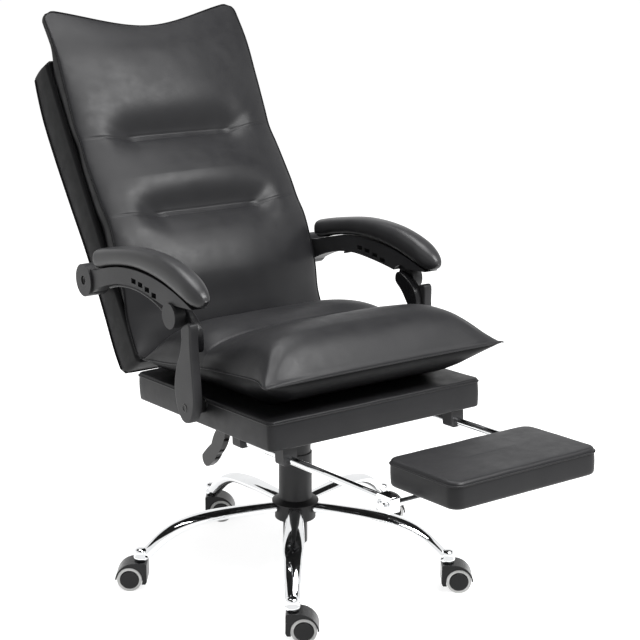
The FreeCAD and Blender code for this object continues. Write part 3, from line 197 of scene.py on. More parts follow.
def rim(columns, rows):
    """Grid places round the edge of a panel, in order."""
    low = [(0, i) for i in range(columns)]
    right = [(j, columns) for j in range(rows)]
    high = [(rows, columns - i) for i in range(columns)]
    left = [(rows - j, 0) for j in range(rows)]
    return low + right + high + left


def closed_cushion(front, back, columns, rows, rings=0, bulge=0.0):
    """Points and faces of two panels joined round their edges by a border strip of rings."""
    points = []
    faces = []
    front_grid = panel_grid(front, columns, rows)
    back_grid = panel_grid(back, columns, rows)
    for grid in (front_grid, back_grid):
        first = len(points)
        for row in grid:
            points.extend(row)
        for j in range(rows):
            for i in range(columns):
                corner = first + j * (columns + 1) + i
                faces.append((corner, corner + 1, corner + columns + 2, corner + columns + 1))
    edge = rim(columns, rows)
    middle = sum((front_grid[j][i] for j, i in edge), Vector()) / len(edge)
    loops = [[j * (columns + 1) + i for j, i in edge]]
    for ring in range(1, rings + 1):
        share = ring / (rings + 1)
        first = len(points)
        for j, i in edge:
            point = front_grid[j][i].lerp(back_grid[j][i], share)
            outward = (front_grid[j][i] - middle).normalized()
            points.append(point + outward * bulge * MM * math.sin(math.pi * share))
        loops.append([first + k for k in range(len(edge))])
    behind = (columns + 1) * (rows + 1)
    loops.append([behind + j * (columns + 1) + i for j, i in edge])
    for one, other in zip(loops, loops[1:]):
        for k in range(len(edge)):
            after = (k + 1) % len(edge)
            faces.append((one[k], one[after], other[after], other[k]))
    return points, faces


def ring_faces(count, sides, closed=False):
    """Faces between neighbouring rings of points, capped at both ends unless the rings form a loop."""
    faces = []
    for index in range(count if closed else count - 1):
        here, there = index * sides, (index + 1) % count * sides
        for k in range(sides):
            after = (k + 1) % sides
            faces.append((here + k, here + after, there + after, there + k))
    if not closed:
        faces.append(tuple(range(sides)))
        faces.append(tuple((count - 1) * sides + k for k in reversed(range(sides))))
    return faces


def ring_loft(rings):
    """Points and faces through closed rings of points, capped at both ends."""
    points = [point for ring in rings for point in ring]
    return points, ring_faces(len(rings), len(rings[0]))


def tube(name, path, radius, material, body, slot, closed=False):
    """A round bead of the given radius along a path of points in metres, such as piping."""
    points = []
    count = len(path)
    for index, point in enumerate(path):
        before = path[index - 1] if closed or index else path[0]
        after = path[(index + 1) % count] if closed or index < count - 1 else path[-1]
        way = (after - before).normalized()
        side = way.orthogonal().normalized() if abs(way.x) > 0.9 else way.cross(SIDEWAYS).normalized()
        up = way.cross(side).normalized()
        for k in range(BEAD_SIDES):
            angle = 2.0 * math.pi * k / BEAD_SIDES
            points.append(point + (side * math.cos(angle) + up * math.sin(angle)) * radius * MM)
    new_object(name, points, ring_faces(count, BEAD_SIDES, closed), material, body, slot)


# Ovals, plates and round pieces

DISC_SIDES = 32
SHARP = math.radians(35.0)


def oval(half_wide, half_tall, squareness, sides):
    """Points round an oval. A squareness of 2 is an ellipse and more is boxier."""
    ring = []
    for k in range(sides):
        angle = 2.0 * math.pi * k / sides
        cosine, sine = math.cos(angle), math.sin(angle)
        ring.append((
            half_wide * math.copysign(abs(cosine) ** (2.0 / squareness), cosine),
            half_tall * math.copysign(abs(sine) ** (2.0 / squareness), sine),
        ))
    return ring


def soften(thing, width):
    """Rounds an object's sharp edges."""
    bevel = thing.modifiers.new("bevel", "BEVEL")
    bevel.width = width * MM
    bevel.segments = 3
    bevel.limit_method = "ANGLE"
    bevel.angle_limit = SHARP


def plate(name, place, outline, low, high, rounding, material, body, slot):
    """A side view extruded across from low to high, with rounded edges."""
    rings = [[place(across, along, up) for along, up in outline] for across in (low, high)]
    thing = new_object(name, *ring_loft(rings), material, body, slot)
    for polygon in thing.data.polygons:
        polygon.use_smooth = len(polygon.vertices) == 4
    soften(thing, rounding)
    return thing


def smooth_outline(corners, per_span):
    """A closed smooth curve through the given corners."""
    count = len(corners)
    points = []
    for index in range(count):
        before, start = corners[index - 1], corners[index]
        end, after = corners[(index + 1) % count], corners[(index + 2) % count]
        for k in range(per_span):
            t = k / per_span
            points.append(tuple(
                0.5 * (
                    2 * start[axis]
                    + (end[axis] - before[axis]) * t
                    + (2 * before[axis] - 5 * start[axis] + 4 * end[axis] - after[axis]) * t ** 2
                    + (3 * start[axis] - before[axis] - 3 * end[axis] + after[axis]) * t ** 3
                )
                for axis in (0, 1)
            ))
    return points


def turned(name, centre, way, profile, sides, material, body, slot):
    """A round piece about an axis, from a profile of radii and heights."""
    way = way.normalized()
    side = way.orthogonal().normalized()
    up = way.cross(side)
    rings = []
    for radius, height in profile:
        ring = []
        for k in range(sides):
            angle = 2.0 * math.pi * k / sides
            offset = (side * math.cos(angle) + up * math.sin(angle)) * radius
            ring.append((centre + offset + way * height) * MM)
        rings.append(ring)
    new_object(name, *ring_loft(rings), material, body, slot)


def disc(name, centre, way, radius, thickness, material, body, slot, dish=0.0):
    """A round cap. Its dish is how deep its face is hollowed, as a share of its thickness."""
    floor = 1.0 - dish
    shares = [(0.02, 0.0), (1.0, 0.0), (1.0, 0.7), (0.9, 1.0), (0.6, 1.0), (0.5, floor), (0.02, floor)]
    profile = [(reach * radius, height * thickness) for reach, height in shares]
    turned(name, centre, way, profile, DISC_SIDES, material, body, slot)


# Materials

PEBBLE_SCALE = 900.0
PLASTIC_SHINE = 1.35
WORN_LIGHTER = 1.3
SMEARED_DIMMER = 0.93


def new_material(name):
    material = bpy.data.materials.new(name)
    material.use_nodes = True
    tree = material.node_tree
    return material, tree, tree.nodes["Principled BSDF"]


def texture(tree, kind, scale):
    """A texture in object coordinates, which don't move with the camera."""
    place = tree.nodes.new("ShaderNodeTexCoord")
    node = tree.nodes.new(kind)
    node.inputs["Scale"].default_value = scale
    tree.links.new(place.outputs["Object"], node.inputs["Vector"])
    return node


def noise_node(tree, scale, detail, roughness=0.5):
    node = texture(tree, "ShaderNodeTexNoise", scale)
    node.inputs["Detail"].default_value = detail
    node.inputs["Roughness"].default_value = roughness
    return node.outputs["Fac"]


def ramp_between(tree, source, low, high):
    """Turns a 0 to 1 signal into a number between low and high."""
    node = tree.nodes.new("ShaderNodeMapRange")
    node.inputs["From Min"].default_value = 0.3
    node.inputs["From Max"].default_value = 0.7
    node.inputs["To Min"].default_value = low
    node.inputs["To Max"].default_value = high
    tree.links.new(source, node.inputs["Value"])
    return node.outputs["Result"]


def colour_between(tree, source, first, second):
    node = tree.nodes.new("ShaderNodeMix")
    node.data_type = "RGBA"
    node.inputs["A"].default_value = (*first, 1.0)
    node.inputs["B"].default_value = (*second, 1.0)
    tree.links.new(source, node.inputs["Factor"])
    return node.outputs["Result"]


def drift(tree, shader, colour_noise, colours, gloss_noise, roughnesses):
    """Lets a shader's colour and its roughness each wander between two values with a noise."""
    share = ramp_between(tree, colour_noise, 0.0, 1.0)
    tree.links.new(colour_between(tree, share, *colours), shader.inputs["Base Color"])
    tree.links.new(ramp_between(tree, gloss_noise, *roughnesses), shader.inputs["Roughness"])


def bump(tree, height, strength, distance, before=None):
    """A bump of the given depth in metres, on top of another bump if there is one."""
    node = tree.nodes.new("ShaderNodeBump")
    node.inputs["Strength"].default_value = strength
    node.inputs["Distance"].default_value = distance
    tree.links.new(height, node.inputs["Height"])
    if before is not None:
        tree.links.new(before, node.inputs["Normal"])
    return node.outputs["Normal"]


def leatherette(name, dark, light, roughness, shine):
    """Coated fabric with a fine pebble grain, broad soft creasing and slightly uneven gloss."""
    material, tree, shader = new_material(name)
    pebbles = texture(tree, "ShaderNodeTexVoronoi", PEBBLE_SCALE)
    pebbles.feature = "SMOOTH_F1"
    patches = noise_node(tree, scale=9.0, detail=3.0)
    folds = noise_node(tree, scale=38.0, detail=5.0, roughness=0.6)
    shader.inputs["IOR"].default_value = shine
    drift(tree, shader, patches, (dark, light), folds, (roughness - 0.05, roughness + 0.06))
    creases = bump(tree, folds, strength=0.14, distance=0.0010)
    grain = bump(tree, pebbles.outputs["Distance"], strength=0.22, distance=0.00016, before=creases)
    tree.links.new(grain, shader.inputs["Normal"])
    return material


def moulded_plastic(name, colour, roughness, grain=0.3):
    """Injection moulded plastic with a fine spark texture."""
    material, tree, shader = new_material(name)
    spark = noise_node(tree, scale=2600.0, detail=2.0)
    wear = noise_node(tree, scale=16.0, detail=4.0)
    lighter = tuple(channel * WORN_LIGHTER + 0.001 for channel in colour)
    drift(tree, shader, wear, (colour, lighter), wear, (roughness - 0.04, roughness + 0.05))
    sparkle = bump(tree, spark, strength=grain, distance=0.0002)
    tree.links.new(sparkle, shader.inputs["Normal"])
    shader.inputs["IOR"].default_value = PLASTIC_SHINE
    return material


def metal(name, colour, roughness, scratch=0.02):
    """Plated or bare metal with faint smears in its polish."""
    material, tree, shader = new_material(name)
    shader.inputs["Metallic"].default_value = 1.0
    smears = noise_node(tree, scale=22.0, detail=5.0)
    dimmer = tuple(channel * SMEARED_DIMMER for channel in colour)
    drift(tree, shader, smears, (colour, dimmer), smears, (roughness, roughness + scratch))
    return material


def plywood(name):
    """Rotary cut birch: long pale streaks along the sheet."""
    material, tree, shader = new_material(name)
    place = tree.nodes.new("ShaderNodeTexCoord")
    stretch = tree.nodes.new("ShaderNodeMapping")
    stretch.inputs["Scale"].default_value = (40.0, 4.0, 40.0)
    grain = tree.nodes.new("ShaderNodeTexNoise")
    grain.inputs["Scale"].default_value = 2.0
    grain.inputs["Detail"].default_value = 8.0
    tree.links.new(place.outputs["Object"], stretch.inputs["Vector"])
    tree.links.new(stretch.outputs["Vector"], grain.inputs["Vector"])
    tree.links.new(
        colour_between(tree, grain.outputs["Fac"], (0.42, 0.27, 0.14), (0.60, 0.43, 0.25)),
        shader.inputs["Base Color"],
    )
    shader.inputs["Roughness"].default_value = 0.6
    relief = bump(tree, grain.outputs["Fac"], strength=0.3, distance=0.0003)
    tree.links.new(relief, shader.inputs["Normal"])
    return material


LEATHER = leatherette(
    "black_leatherette", dark=(0.011, 0.011, 0.012), light=(0.015, 0.015, 0.016),
    roughness=0.42, shine=1.30,
)
# Painted shade: a darker, duller copy of the black leatherette, worn by the back shell, some piping and
# faces turned from the light.
SHADED_LEATHER = leatherette(
    "shaded_leatherette", dark=(0.004, 0.004, 0.0045), light=(0.007, 0.007, 0.0075),
    roughness=0.48, shine=1.18,
)
ARM_SKIN = moulded_plastic("arm_skin", (0.022, 0.022, 0.023), roughness=0.34, grain=0.15)
PLASTIC = moulded_plastic("black_plastic", (0.018, 0.018, 0.019), roughness=0.44)
CAP_PLASTIC = moulded_plastic("cap_plastic", (0.007, 0.007, 0.007), roughness=0.35)
DARK_PLASTIC = moulded_plastic("dark_plastic", (0.004, 0.004, 0.0045), roughness=0.26)
GLOSS_PLASTIC = moulded_plastic("gloss_plastic", (0.006, 0.005, 0.0045), roughness=0.12, grain=0.05)
CHROME = metal("chrome", (0.86, 0.87, 0.88), roughness=0.045)
ZINC = metal("zinc", (0.62, 0.63, 0.64), roughness=0.30, scratch=0.12)
PAINTED_STEEL = moulded_plastic("painted_steel", (0.016, 0.016, 0.017), roughness=0.32, grain=0.2)
TYRE = moulded_plastic("white_tyre", (0.62, 0.62, 0.61), roughness=0.40, grain=0.1)
DUST_COVER = moulded_plastic("dust_cover", (0.010, 0.010, 0.010), roughness=0.85, grain=1.0)
NYLON = moulded_plastic("nylon", (0.62, 0.61, 0.57), roughness=0.45, grain=0.2)
PLY = plywood("birch_plywood")


def dress(material, *names):
    """Gives CAD nodes a material."""
    for name in names:
        node = frame["nodes"][name]
        node.data.materials.clear()
        node.data.materials.append(material)


def cover_underside(node_name):
    """Puts the black dust cover on the faces of a panel that look down."""
    mesh = frame["nodes"][node_name].data
    mesh.materials.append(DUST_COVER)
    for polygon in mesh.polygons:
        if polygon.normal.dot(SEAT_UP) < -0.9:
            polygon.material_index = len(mesh.materials) - 1


# Seat box and footrest: upholstered boxes

PIPING_RADIUS = 1.7
LID_SHARES = (0.94, 0.8, 0.6, 0.4, 0.25, 0.15, 0.09)
EDGE_STEPS = 6
SIDE_STEPS = 10
LID_FROM = 0.9
LID_WAVE_SIZE = 55.0
LID_WAVE_HEIGHT = 0.9
CROWN_POWER = 2.4
SEAM_OUT = 0.9


def rounded_ring(half_x, half_y, radius, per_side, per_corner):
    """Points round a rectangle with rounded corners, always the same number of them."""
    radius = max(radius, 0.5)
    arcs = []
    for side_x, side_y, start in ((1, -1, -90.0), (1, 1, 0.0), (-1, 1, 90.0), (-1, -1, 180.0)):
        centre = Vector((side_x * (half_x - radius), side_y * (half_y - radius)))
        angles = [math.radians(start + 90.0 * k / per_corner) for k in range(per_corner + 1)]
        arcs.append([centre + Vector((math.cos(angle), math.sin(angle))) * radius for angle in angles])
    ring = []
    for arc, next_arc in zip(arcs, arcs[1:] + arcs[:1]):
        ring.extend(arc)
        ring.extend(arc[-1].lerp(next_arc[0], k / per_side) for k in range(1, per_side))
    return ring


def box_levels(size, edge):
    """How far in and how far up each ring of a padded box stands, from its floor to its lid."""
    half, height = min(size[0], size[1]) / 2, size[2]
    insets = [half * share + edge for share in LID_SHARES]
    turn = [math.pi / 2 * k / EDGE_STEPS for k in range(EDGE_STEPS + 1)]
    floor = [(inset, 0.0) for inset in insets]
    low_edge = [(edge * (1 - math.sin(angle)), edge * (1 - math.cos(angle))) for angle in turn]
    side = [(0.0, edge + (height - 2 * edge) * k / SIDE_STEPS) for k in range(1, SIDE_STEPS)]
    high_edge = [(edge * (1 - math.cos(angle)), height - edge * (1 - math.sin(angle))) for angle in turn]
    lid = [(inset, height) for inset in reversed(insets)]
    return floor + low_edge + side + high_edge + lid


def upholstered_box(size, corner, edge, side_bulge, top_crown, seam_up, seed):
    """Points and faces of a padded box on its floor, and the path of its upper seam."""
    half_x, half_y, height = size[0] / 2, size[1] / 2, size[2]
    rings = []
    seam = []
    for inset, up in box_levels(size, edge):
        outline = rounded_ring(
            half_x - min(inset, half_x - 2.0),
            half_y - min(inset, half_y - 2.0),
            corner - min(inset, corner - 1.0),
            per_side=28,
            per_corner=8,
        )
        share = up / height
        bulge = side_bulge * math.sin(math.pi * share)
        ring = []
        for x, y in outline:
            reach_x, reach_y = abs(x) / half_x, abs(y) / half_y
            swell = bulge * (1.0 - 0.5 * min(reach_x, reach_y) ** 4)
            grow = 1.0 + swell / (half_x if reach_x > reach_y else half_y) if inset < edge else 1.0
            lift = 0.0
            if up >= height - edge:
                lift = top_crown * (1.0 - reach_x ** CROWN_POWER) * (1.0 - reach_y ** CROWN_POWER)
            if share > LID_FROM:
                lift += unevenness((x, y, up), LID_WAVE_SIZE, seed) * LID_WAVE_HEIGHT
            ring.append((x * grow, y * grow, up + lift))
        rings.append(ring)
        if abs(up - seam_up) < (height - 2 * edge) / SIDE_STEPS and not seam:
            out_x, out_y = 1 + SEAM_OUT / half_x, 1 + SEAM_OUT / half_y
            seam = [(x * out_x, y * out_y, seam_up) for x, y in outline]
    points, faces = ring_loft(rings)
    return points, faces, seam


def make_box_cushion(name, node, body, foot, size, corner, edge, side_bulge, top_crown, seam_up, seed):
    """A padded box in the seat's frame, with the middle of its floor at the foot."""
    points, faces, seam = upholstered_box(size, corner, edge, side_bulge, top_crown, seam_up, seed)

    def placed(points):
        return [seat_place(foot[0] + x, foot[1] + y, foot[2] + up) for x, y, up in points]

    cushion = new_object(name, placed(points), faces, LEATHER, body, "black_leatherette")
    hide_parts(node)
    tube(name + "_piping", placed(seam), PIPING_RADIUS, LEATHER, body, "black_leatherette", closed=True)


# Padding. Each panel has u from -1 to 1 across it and v from 0 to 1 up it.


def edge_rise(u, v, side_power, low_share, high_share, exponent=0.75):
    """How much of the padding stands at a place: none on the rim, all of it well inside."""
    across = (1.0 - abs(u) ** side_power) ** exponent
    low = math.sqrt(max(0.0, 1.0 - (1.0 - min(v / low_share, 1.0)) ** 2))
    high = math.sqrt(max(0.0, 1.0 - (1.0 - min((1.0 - v) / high_share, 1.0)) ** 2))
    return across * low * high


def off_rim(u, v, side_rate, end_rate):
    """0 on a panel's rim and 1 well inside it."""
    side = min(1.0, side_rate * (1.0 - abs(u)))
    return side * min(1.0, end_rate * v) * min(1.0, end_rate * (1.0 - v))


def waves(point, layers):
    """The height of soft irregular waves at a point, from (size, height, seed) layers."""
    return sum(unevenness(point, size, seed) * height for size, height, seed in layers)


def pipe_round(name, surface, columns, rows, away, radius, material, body):
    """Piping round a panel's edge, moved away from the panel's middle by a little."""
    edge = [surface(-1.0 + 2.0 * i / columns, j / rows) for j, i in rim(columns, rows)]
    middle = sum(edge, Vector()) / len(edge)
    path = [point + (point - middle).normalized() * away * MM for point in edge]
    tube(name, path, radius, material, body, "black_leatherette", closed=True)


def paint_shade_on_faces_away(thing, way, limit):
    """Paints shade: puts the darker copy of the leather on the faces that look away from the given way.
    """
    thing.data.materials.append(SHADED_LEATHER)
    for polygon in thing.data.polygons:
        polygon.material_index = 1 if polygon.normal.dot(way) < limit else 0


# Back shell

SHELL_HALF_WIDTH = 237.0
SHELL_CORNER = 8.0
SHELL_HEIGHT = 693.0
SHELL_DEPTH = 92.0
SHELL_TOP_DEPTH = 60.0
SHELL_PIPING_RADIUS = 2.0
SHELL_DISH = 7.0
SHELL_SWELL = 9.0
SHELL_WAVES = ((120.0, 1.6, 8),)
# How far behind the rear line the shell stands, by height up the back.
SHELL_REAR = [
    (0, -1), (52, 5), (131, 4), (267, 6), (384, 18), (501, 29), (590, 33), (650, 27), (693, 18),
]


def shell_half_width(up):
    """Half the shell's width at a height, drawn in at its rounded corners."""
    from_end = min(up, SHELL_HEIGHT - up)
    short = max(0.0, SHELL_CORNER - from_end) / SHELL_CORNER
    return SHELL_HALF_WIDTH - SHELL_CORNER * (1.0 - math.sqrt(1.0 - short * short))


def shell_front(up):
    """How far forward the shell's front face stands at a height."""
    return SHELL_DEPTH + (SHELL_TOP_DEPTH - SHELL_DEPTH) * up / SHELL_HEIGHT


def shell_rear_panel(u, v):
    up = v * SHELL_HEIGHT
    rise = edge_rise(u, v, side_power=6.0, low_share=0.03, high_share=0.03)
    forward = SHELL_DISH - curve_at(SHELL_REAR, up) - SHELL_SWELL * rise
    forward -= waves((u * SHELL_HALF_WIDTH, up, 0.0), SHELL_WAVES) * rise
    return back_place(u * shell_half_width(up), forward, up)


def shell_front_panel(u, v):
    up = v * SHELL_HEIGHT
    return back_place(u * shell_half_width(up), shell_front(up) - 0.4, up)


def make_back_shell():
    points, faces = closed_cushion(shell_rear_panel, shell_front_panel, 60, 120, rings=6, bulge=2.5)
    # The shell and its piping wear the darker leather, which is painted shade.
    shell = new_object("back_shell_cover", points, faces, SHADED_LEATHER, "back", "black_leatherette")
    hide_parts("back_shell")
    pipe_round(
        "back_shell_piping", shell_rear_panel, 40, 60,
        away=0.6, radius=SHELL_PIPING_RADIUS, material=SHADED_LEATHER, body="back",
    )


# Back cushion

BACK_HALF_WIDTH = 237.0
BACK_BOTTOM = 3.0
EAR_TOP = 785.0
TOP_DIP = 47.0
EAR_INSET = 8.0
EAR_RADIUS = 20.0
UPPER_CHANNEL = 478.0
LOWER_CHANNEL = 294.0
CHANNEL_HALF_LENGTH = 125.0
CHANNEL_PINCH = 3.0
CHANNEL_PINCH_REACH = 30.0
# How quickly the pull of a channel fades: reach and steepness, above it and below it.
ABOVE_CHANNEL = (42.0, 1.8)
BELOW_CHANNEL = (38.0, 1.3)
SIDE_PULL = 0.10
MORE_PULL_AT_CHANNEL = 0.88
# The folded strip between two rows of stitches, and the thin seam that runs on from it to the sides.
STRIP_HALF_WIDTH = 4.2
STRIP_LIFT = 0.2
STITCH_OFFSET = 5.6
STITCH_HALF_WIDTH = 1.6
STITCH_DEPTH = 1.6
SEAM_HALF_WIDTH = 2.4
SEAM_DEPTH = 2.4
SEAM_CLIMB = 9.0
# Folds from the channels' ends: channel, how far out and above it they end, width and depth.
BACK_FOLDS = [
    (UPPER_CHANNEL, 208, 54, 15.0, 2.4),
    (UPPER_CHANNEL, 146, 66, 13.0, 1.2),
    (LOWER_CHANNEL, 172, 56, 14.0, 1.4),
    (LOWER_CHANNEL, 212, 68, 17.0, 1.8),
]
BACK_WAVES = ((110.0, 1.6, 1), (40.0, 0.35, 2))
PUCKER_REACH = 26.0
PUCKERS = ((13.0, 1.2, 3),)
REAR_INSET = 7.0
EAR_THICKNESS = 15.0
# How far forward the front seam stands, by height up the back.
BACK_SEAM = [
    (0, 91), (85, 93), (150, 116), (255, 132), (330, 124),
    (490, 106), (600, 112), (690, 117), (785, 106),
]
# How far the padding swells ahead of that seam in the middle, by height up the back.
BACK_CROWN = [
    (0, 26), (60, 46), (150, 50), (240, 38), (380, 36), (480, 34), (600, 30), (700, 20), (785, 8),
]


def back_top(across):
    """The dipped top edge, which runs up into an ear at each side."""
    share = min(1.0, abs(across) / (BACK_HALF_WIDTH - EAR_INSET))
    return EAR_TOP - TOP_DIP * (1.0 - 0.5 * (share ** 2 + smooth_step(0.0, 1.0, share)))


def corner_inset(beyond):
    """How far a rounded corner draws the side in, by how far beyond the corner's start a place is."""
    if beyond <= 0.0:
        return 0.0
    return EAR_RADIUS - math.sqrt(max(0.0, EAR_RADIUS ** 2 - min(beyond, EAR_RADIUS) ** 2))


def back_half_width(up):
    """Half the cushion's width, pinched a little at the channels and rounded at its corners."""
    half = BACK_HALF_WIDTH
    for channel in (UPPER_CHANNEL, LOWER_CHANNEL):
        half -= CHANNEL_PINCH * math.exp(-(((up - channel) / CHANNEL_PINCH_REACH) ** 2))
    half -= corner_inset(up - (EAR_TOP - EAR_RADIUS))
    return half - corner_inset(BACK_BOTTOM + EAR_RADIUS - up)


def back_panel_place(u, v):
    """Where a panel point lies across and up the back."""
    up = BACK_BOTTOM + v * (back_top(u * BACK_HALF_WIDTH) - BACK_BOTTOM)
    ear = BACK_BOTTOM + v * (EAR_TOP - BACK_BOTTOM)
    return u * back_half_width(ear), up


def channel_pull(across, up):
    """How far the stitched channels draw the padding in, from 0 to 1."""
    hold = 1.0 - smooth_step(CHANNEL_HALF_LENGTH - 22.0, CHANNEL_HALF_LENGTH + 68.0, abs(across))
    pull = 0.0
    for channel in (UPPER_CHANNEL, LOWER_CHANNEL):
        distance = abs(up - channel)
        reach, steepness = ABOVE_CHANNEL if up > channel else BELOW_CHANNEL
        fade = math.exp(-((distance / reach) ** steepness))
        pull = max(pull, fade * (SIDE_PULL + MORE_PULL_AT_CHANNEL * hold))
    return pull


def back_creases(across, up):
    """The depth of the folds that run outwards from the ends of the channels."""
    depth = 0.0
    for channel, out, above, width, deep in BACK_FOLDS:
        start = (CHANNEL_HALF_LENGTH - 4.0, channel)
        depth += crease(abs(across), up, start, (out, channel + above), width, deep)
    return depth


def back_seam_line(across, up):
    """The depth of the thin seam from side to side, and of the strip with its two rows of stitches."""
    depth = 0.0
    side = abs(across)
    for channel in (UPPER_CHANNEL, LOWER_CHANNEL):
        line = channel + SEAM_CLIMB * smooth_step(CHANNEL_HALF_LENGTH, BACK_HALF_WIDTH, side)
        distance = up - line
        strip = 1.0 - smooth_step(CHANNEL_HALF_LENGTH - 6.0, CHANNEL_HALF_LENGTH + 6.0, side)
        thin = math.exp(-((distance / SEAM_HALF_WIDTH) ** 2))
        depth += SEAM_DEPTH * thin * (1.0 - strip)
        raised = math.exp(-((distance / STRIP_HALF_WIDTH) ** 4))
        edges = math.exp(-(((abs(distance) - STITCH_OFFSET) / STITCH_HALF_WIDTH) ** 2))
        depth += strip * (edges * STITCH_DEPTH - raised * STRIP_LIFT)
    return depth


def back_front_panel(u, v):
    across, up = back_panel_place(u, v)
    rise = edge_rise(u, v, side_power=2.3, low_share=0.13, high_share=0.10)
    crown = curve_at(BACK_CROWN, up) * rise * (1.0 - channel_pull(across, up))
    pucker = 1.0 - smooth_step(0.0, PUCKER_REACH, (1.0 - abs(u)) * BACK_HALF_WIDTH)
    relief = waves((across, up, 0.0), BACK_WAVES)
    relief += pucker * waves((0.0, up, across * 0.2), PUCKERS)
    relief -= back_creases(across, up) + back_seam_line(across, up)
    forward = curve_at(BACK_SEAM, up) + crown + relief * off_rim(u, v, side_rate=6.0, end_rate=12.0)
    return back_place(across, forward, up)


def back_rear_panel(u, v):
    """The cushion's own back: flat on the shell, and a slim pillow above it."""
    across, up = back_panel_place(u, v)
    shell = shell_front(up) + 1.0
    above = smooth_step(SHELL_HEIGHT - 60.0, SHELL_HEIGHT + 20.0, up)
    rim_forward = shell + (curve_at(BACK_SEAM, up) - EAR_THICKNESS - shell) * above
    rise = edge_rise(u, v, side_power=4.0, low_share=0.02, high_share=0.10)
    forward = rim_forward + (shell - rim_forward) * rise
    inset = 1.0 - REAR_INSET / BACK_HALF_WIDTH * (1.0 - above)
    return back_place(across * inset, forward, up)


def make_back_cushion():
    points, faces = closed_cushion(back_front_panel, back_rear_panel, 110, 300, rings=4, bulge=2.0)
    cushion = new_object("back_cushion_cover", points, faces, LEATHER, "back", "black_leatherette")
    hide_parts("back_cushion")
    # Painted shade: darker leather on the faces that look backward, and on the piping round the front.
    paint_shade_on_faces_away(cushion, BACK_FORWARD, 0.1)
    pipe_round(
        "back_cushion_piping", back_front_panel, 60, 120,
        away=0.6, radius=PIPING_RADIUS, material=SHADED_LEATHER, body="back",
    )


# Seat pillow

PILLOW_FRONT = -325.0
PILLOW_REAR = 186.0
PILLOW_HALF_WIDTH = 243.0
BOX_TOP = 57.4
VALLEY = -50.0
VALLEY_DEPTH = 15.0
PILLOW_PIPING_RADIUS = 1.6
FRONT_EAR = 29.0
FRONT_EAR_REACH = 52.0
REAR_EAR = 5.0
REAR_EAR_REACH = 40.0
FRONT_BOW = 5.0
REAR_CORNER_CUT = 10.0
THINNEST = 20.0
CROSS_SEAM_DEPTH = 2.2
CROSS_SEAM_HALF_WIDTH = 2.6
# How far in from the rim the underside curves down, as shares of the panel, and how roundly.
UNDER_SIDE = 0.26
UNDER_FRONT = 0.27
UNDER_REAR = 0.10
UNDER_POWER = 0.55
# Folds from the front corners: where they end, width and depth.
PILLOW_FOLDS = (((205, -262), 8.0, 6.0), ((232, -240), 9.0, 6.0), ((190, -292), 8.0, 4.0))
PILLOW_WAVES = ((95.0, 1.8, 4), (40.0, 0.4, 5))
# Height of the pillow's seam above the seat's underside along its sides, by place front to rear.
PILLOW_SEAM = [(-325, 131), (-260, 128), (-150, 121), (-30, 112), (100, 96), (186, 90)]
# Height of the pillow's top along its middle, by place front to rear.
PILLOW_TOP = [
    (-325, 131), (-310, 164), (-285, 190), (-250, 204), (-210, 208), (-160, 202),
    (-110, 190), (-55, 181), (0, 184), (70, 177), (125, 160), (160, 138), (186, 112),
]


def pillow_half_width(backward):
    """Half the pillow's width: drawn out to points at its corners, most at the front."""
    front = math.exp(-(((backward - PILLOW_FRONT) / FRONT_EAR_REACH) ** 2))
    rear = math.exp(-(((backward - PILLOW_REAR) / REAR_EAR_REACH) ** 2))
    return PILLOW_HALF_WIDTH + FRONT_EAR * front + REAR_EAR * rear


def pillow_place(u, v):
    """Where a panel point lies across and backward. The front edge is drawn in between its corners."""
    bow = FRONT_BOW * (1.0 - abs(u) ** 2) * (1.0 - v) ** 6
    backward = PILLOW_FRONT + v * (PILLOW_REAR - PILLOW_FRONT) + bow
    rear_corner = smooth_step(0.9, 1.0, v) * abs(u) ** 8 * REAR_CORNER_CUT
    return u * pillow_half_width(backward), backward - rear_corner


def pillow_valley(across, backward):
    """How far the cross seam draws the top down: most near its ends."""
    side = abs(across)
    hold = 0.45 + 0.55 * smooth_step(60.0, 190.0, side)
    hold *= 1.0 - 0.35 * smooth_step(215.0, PILLOW_HALF_WIDTH, side)
    distance = abs(backward - VALLEY)
    reach = 44.0 if backward > VALLEY else 56.0
    return hold * math.exp(-((distance / reach) ** 1.2))


def pillow_top_panel(u, v):
    across, backward = pillow_place(u, v)
    seam = curve_at(PILLOW_SEAM, backward)
    rise = edge_rise(u, v, side_power=6.0, low_share=0.16, high_share=0.14, exponent=0.55)
    height = max(curve_at(PILLOW_TOP, backward) - seam, THINNEST)
    relief = waves((across, backward, 0.0), PILLOW_WAVES)
    relief -= CROSS_SEAM_DEPTH * math.exp(-(((backward - VALLEY) / CROSS_SEAM_HALF_WIDTH) ** 2))
    corner = (PILLOW_HALF_WIDTH + 22.0, PILLOW_FRONT + 4.0)
    for end, width, depth in PILLOW_FOLDS:
        relief -= crease(abs(across), backward, corner, end, width, depth)
    up = seam + (height - VALLEY_DEPTH * pillow_valley(across, backward)) * rise
    return seat_place(across, backward, up + relief * off_rim(u, v, side_rate=7.0, end_rate=14.0))


def pillow_low_panel(u, v):
    """The underside: it curves in from the seam and lies flat on the box."""
    across, backward = pillow_place(u, v)
    seam = curve_at(PILLOW_SEAM, backward)
    rise = min(1.0, (1.0 - abs(u)) / UNDER_SIDE) ** UNDER_POWER
    rise *= min(1.0, v / UNDER_FRONT) ** UNDER_POWER
    rise *= min(1.0, (1.0 - v) / UNDER_REAR) ** UNDER_POWER
    return seat_place(across, backward, seam + (BOX_TOP - seam) * rise)


def make_seat_pillow():
    points, faces = closed_cushion(pillow_top_panel, pillow_low_panel, 150, 170)
    pillow = new_object("seat_pillow_cover", points, faces, LEATHER, "seat", "black_leatherette")
    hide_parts("seat_pillow")
    # Painted shade: darker leather on the faces that look down.
    paint_shade_on_faces_away(pillow, SEAT_UP, -0.05)
    pipe_round(
        "seat_pillow_piping", pillow_top_panel, 75, 85,
        away=0.4, radius=PILLOW_PIPING_RADIUS, material=LEATHER, body="seat",
    )


# Arms

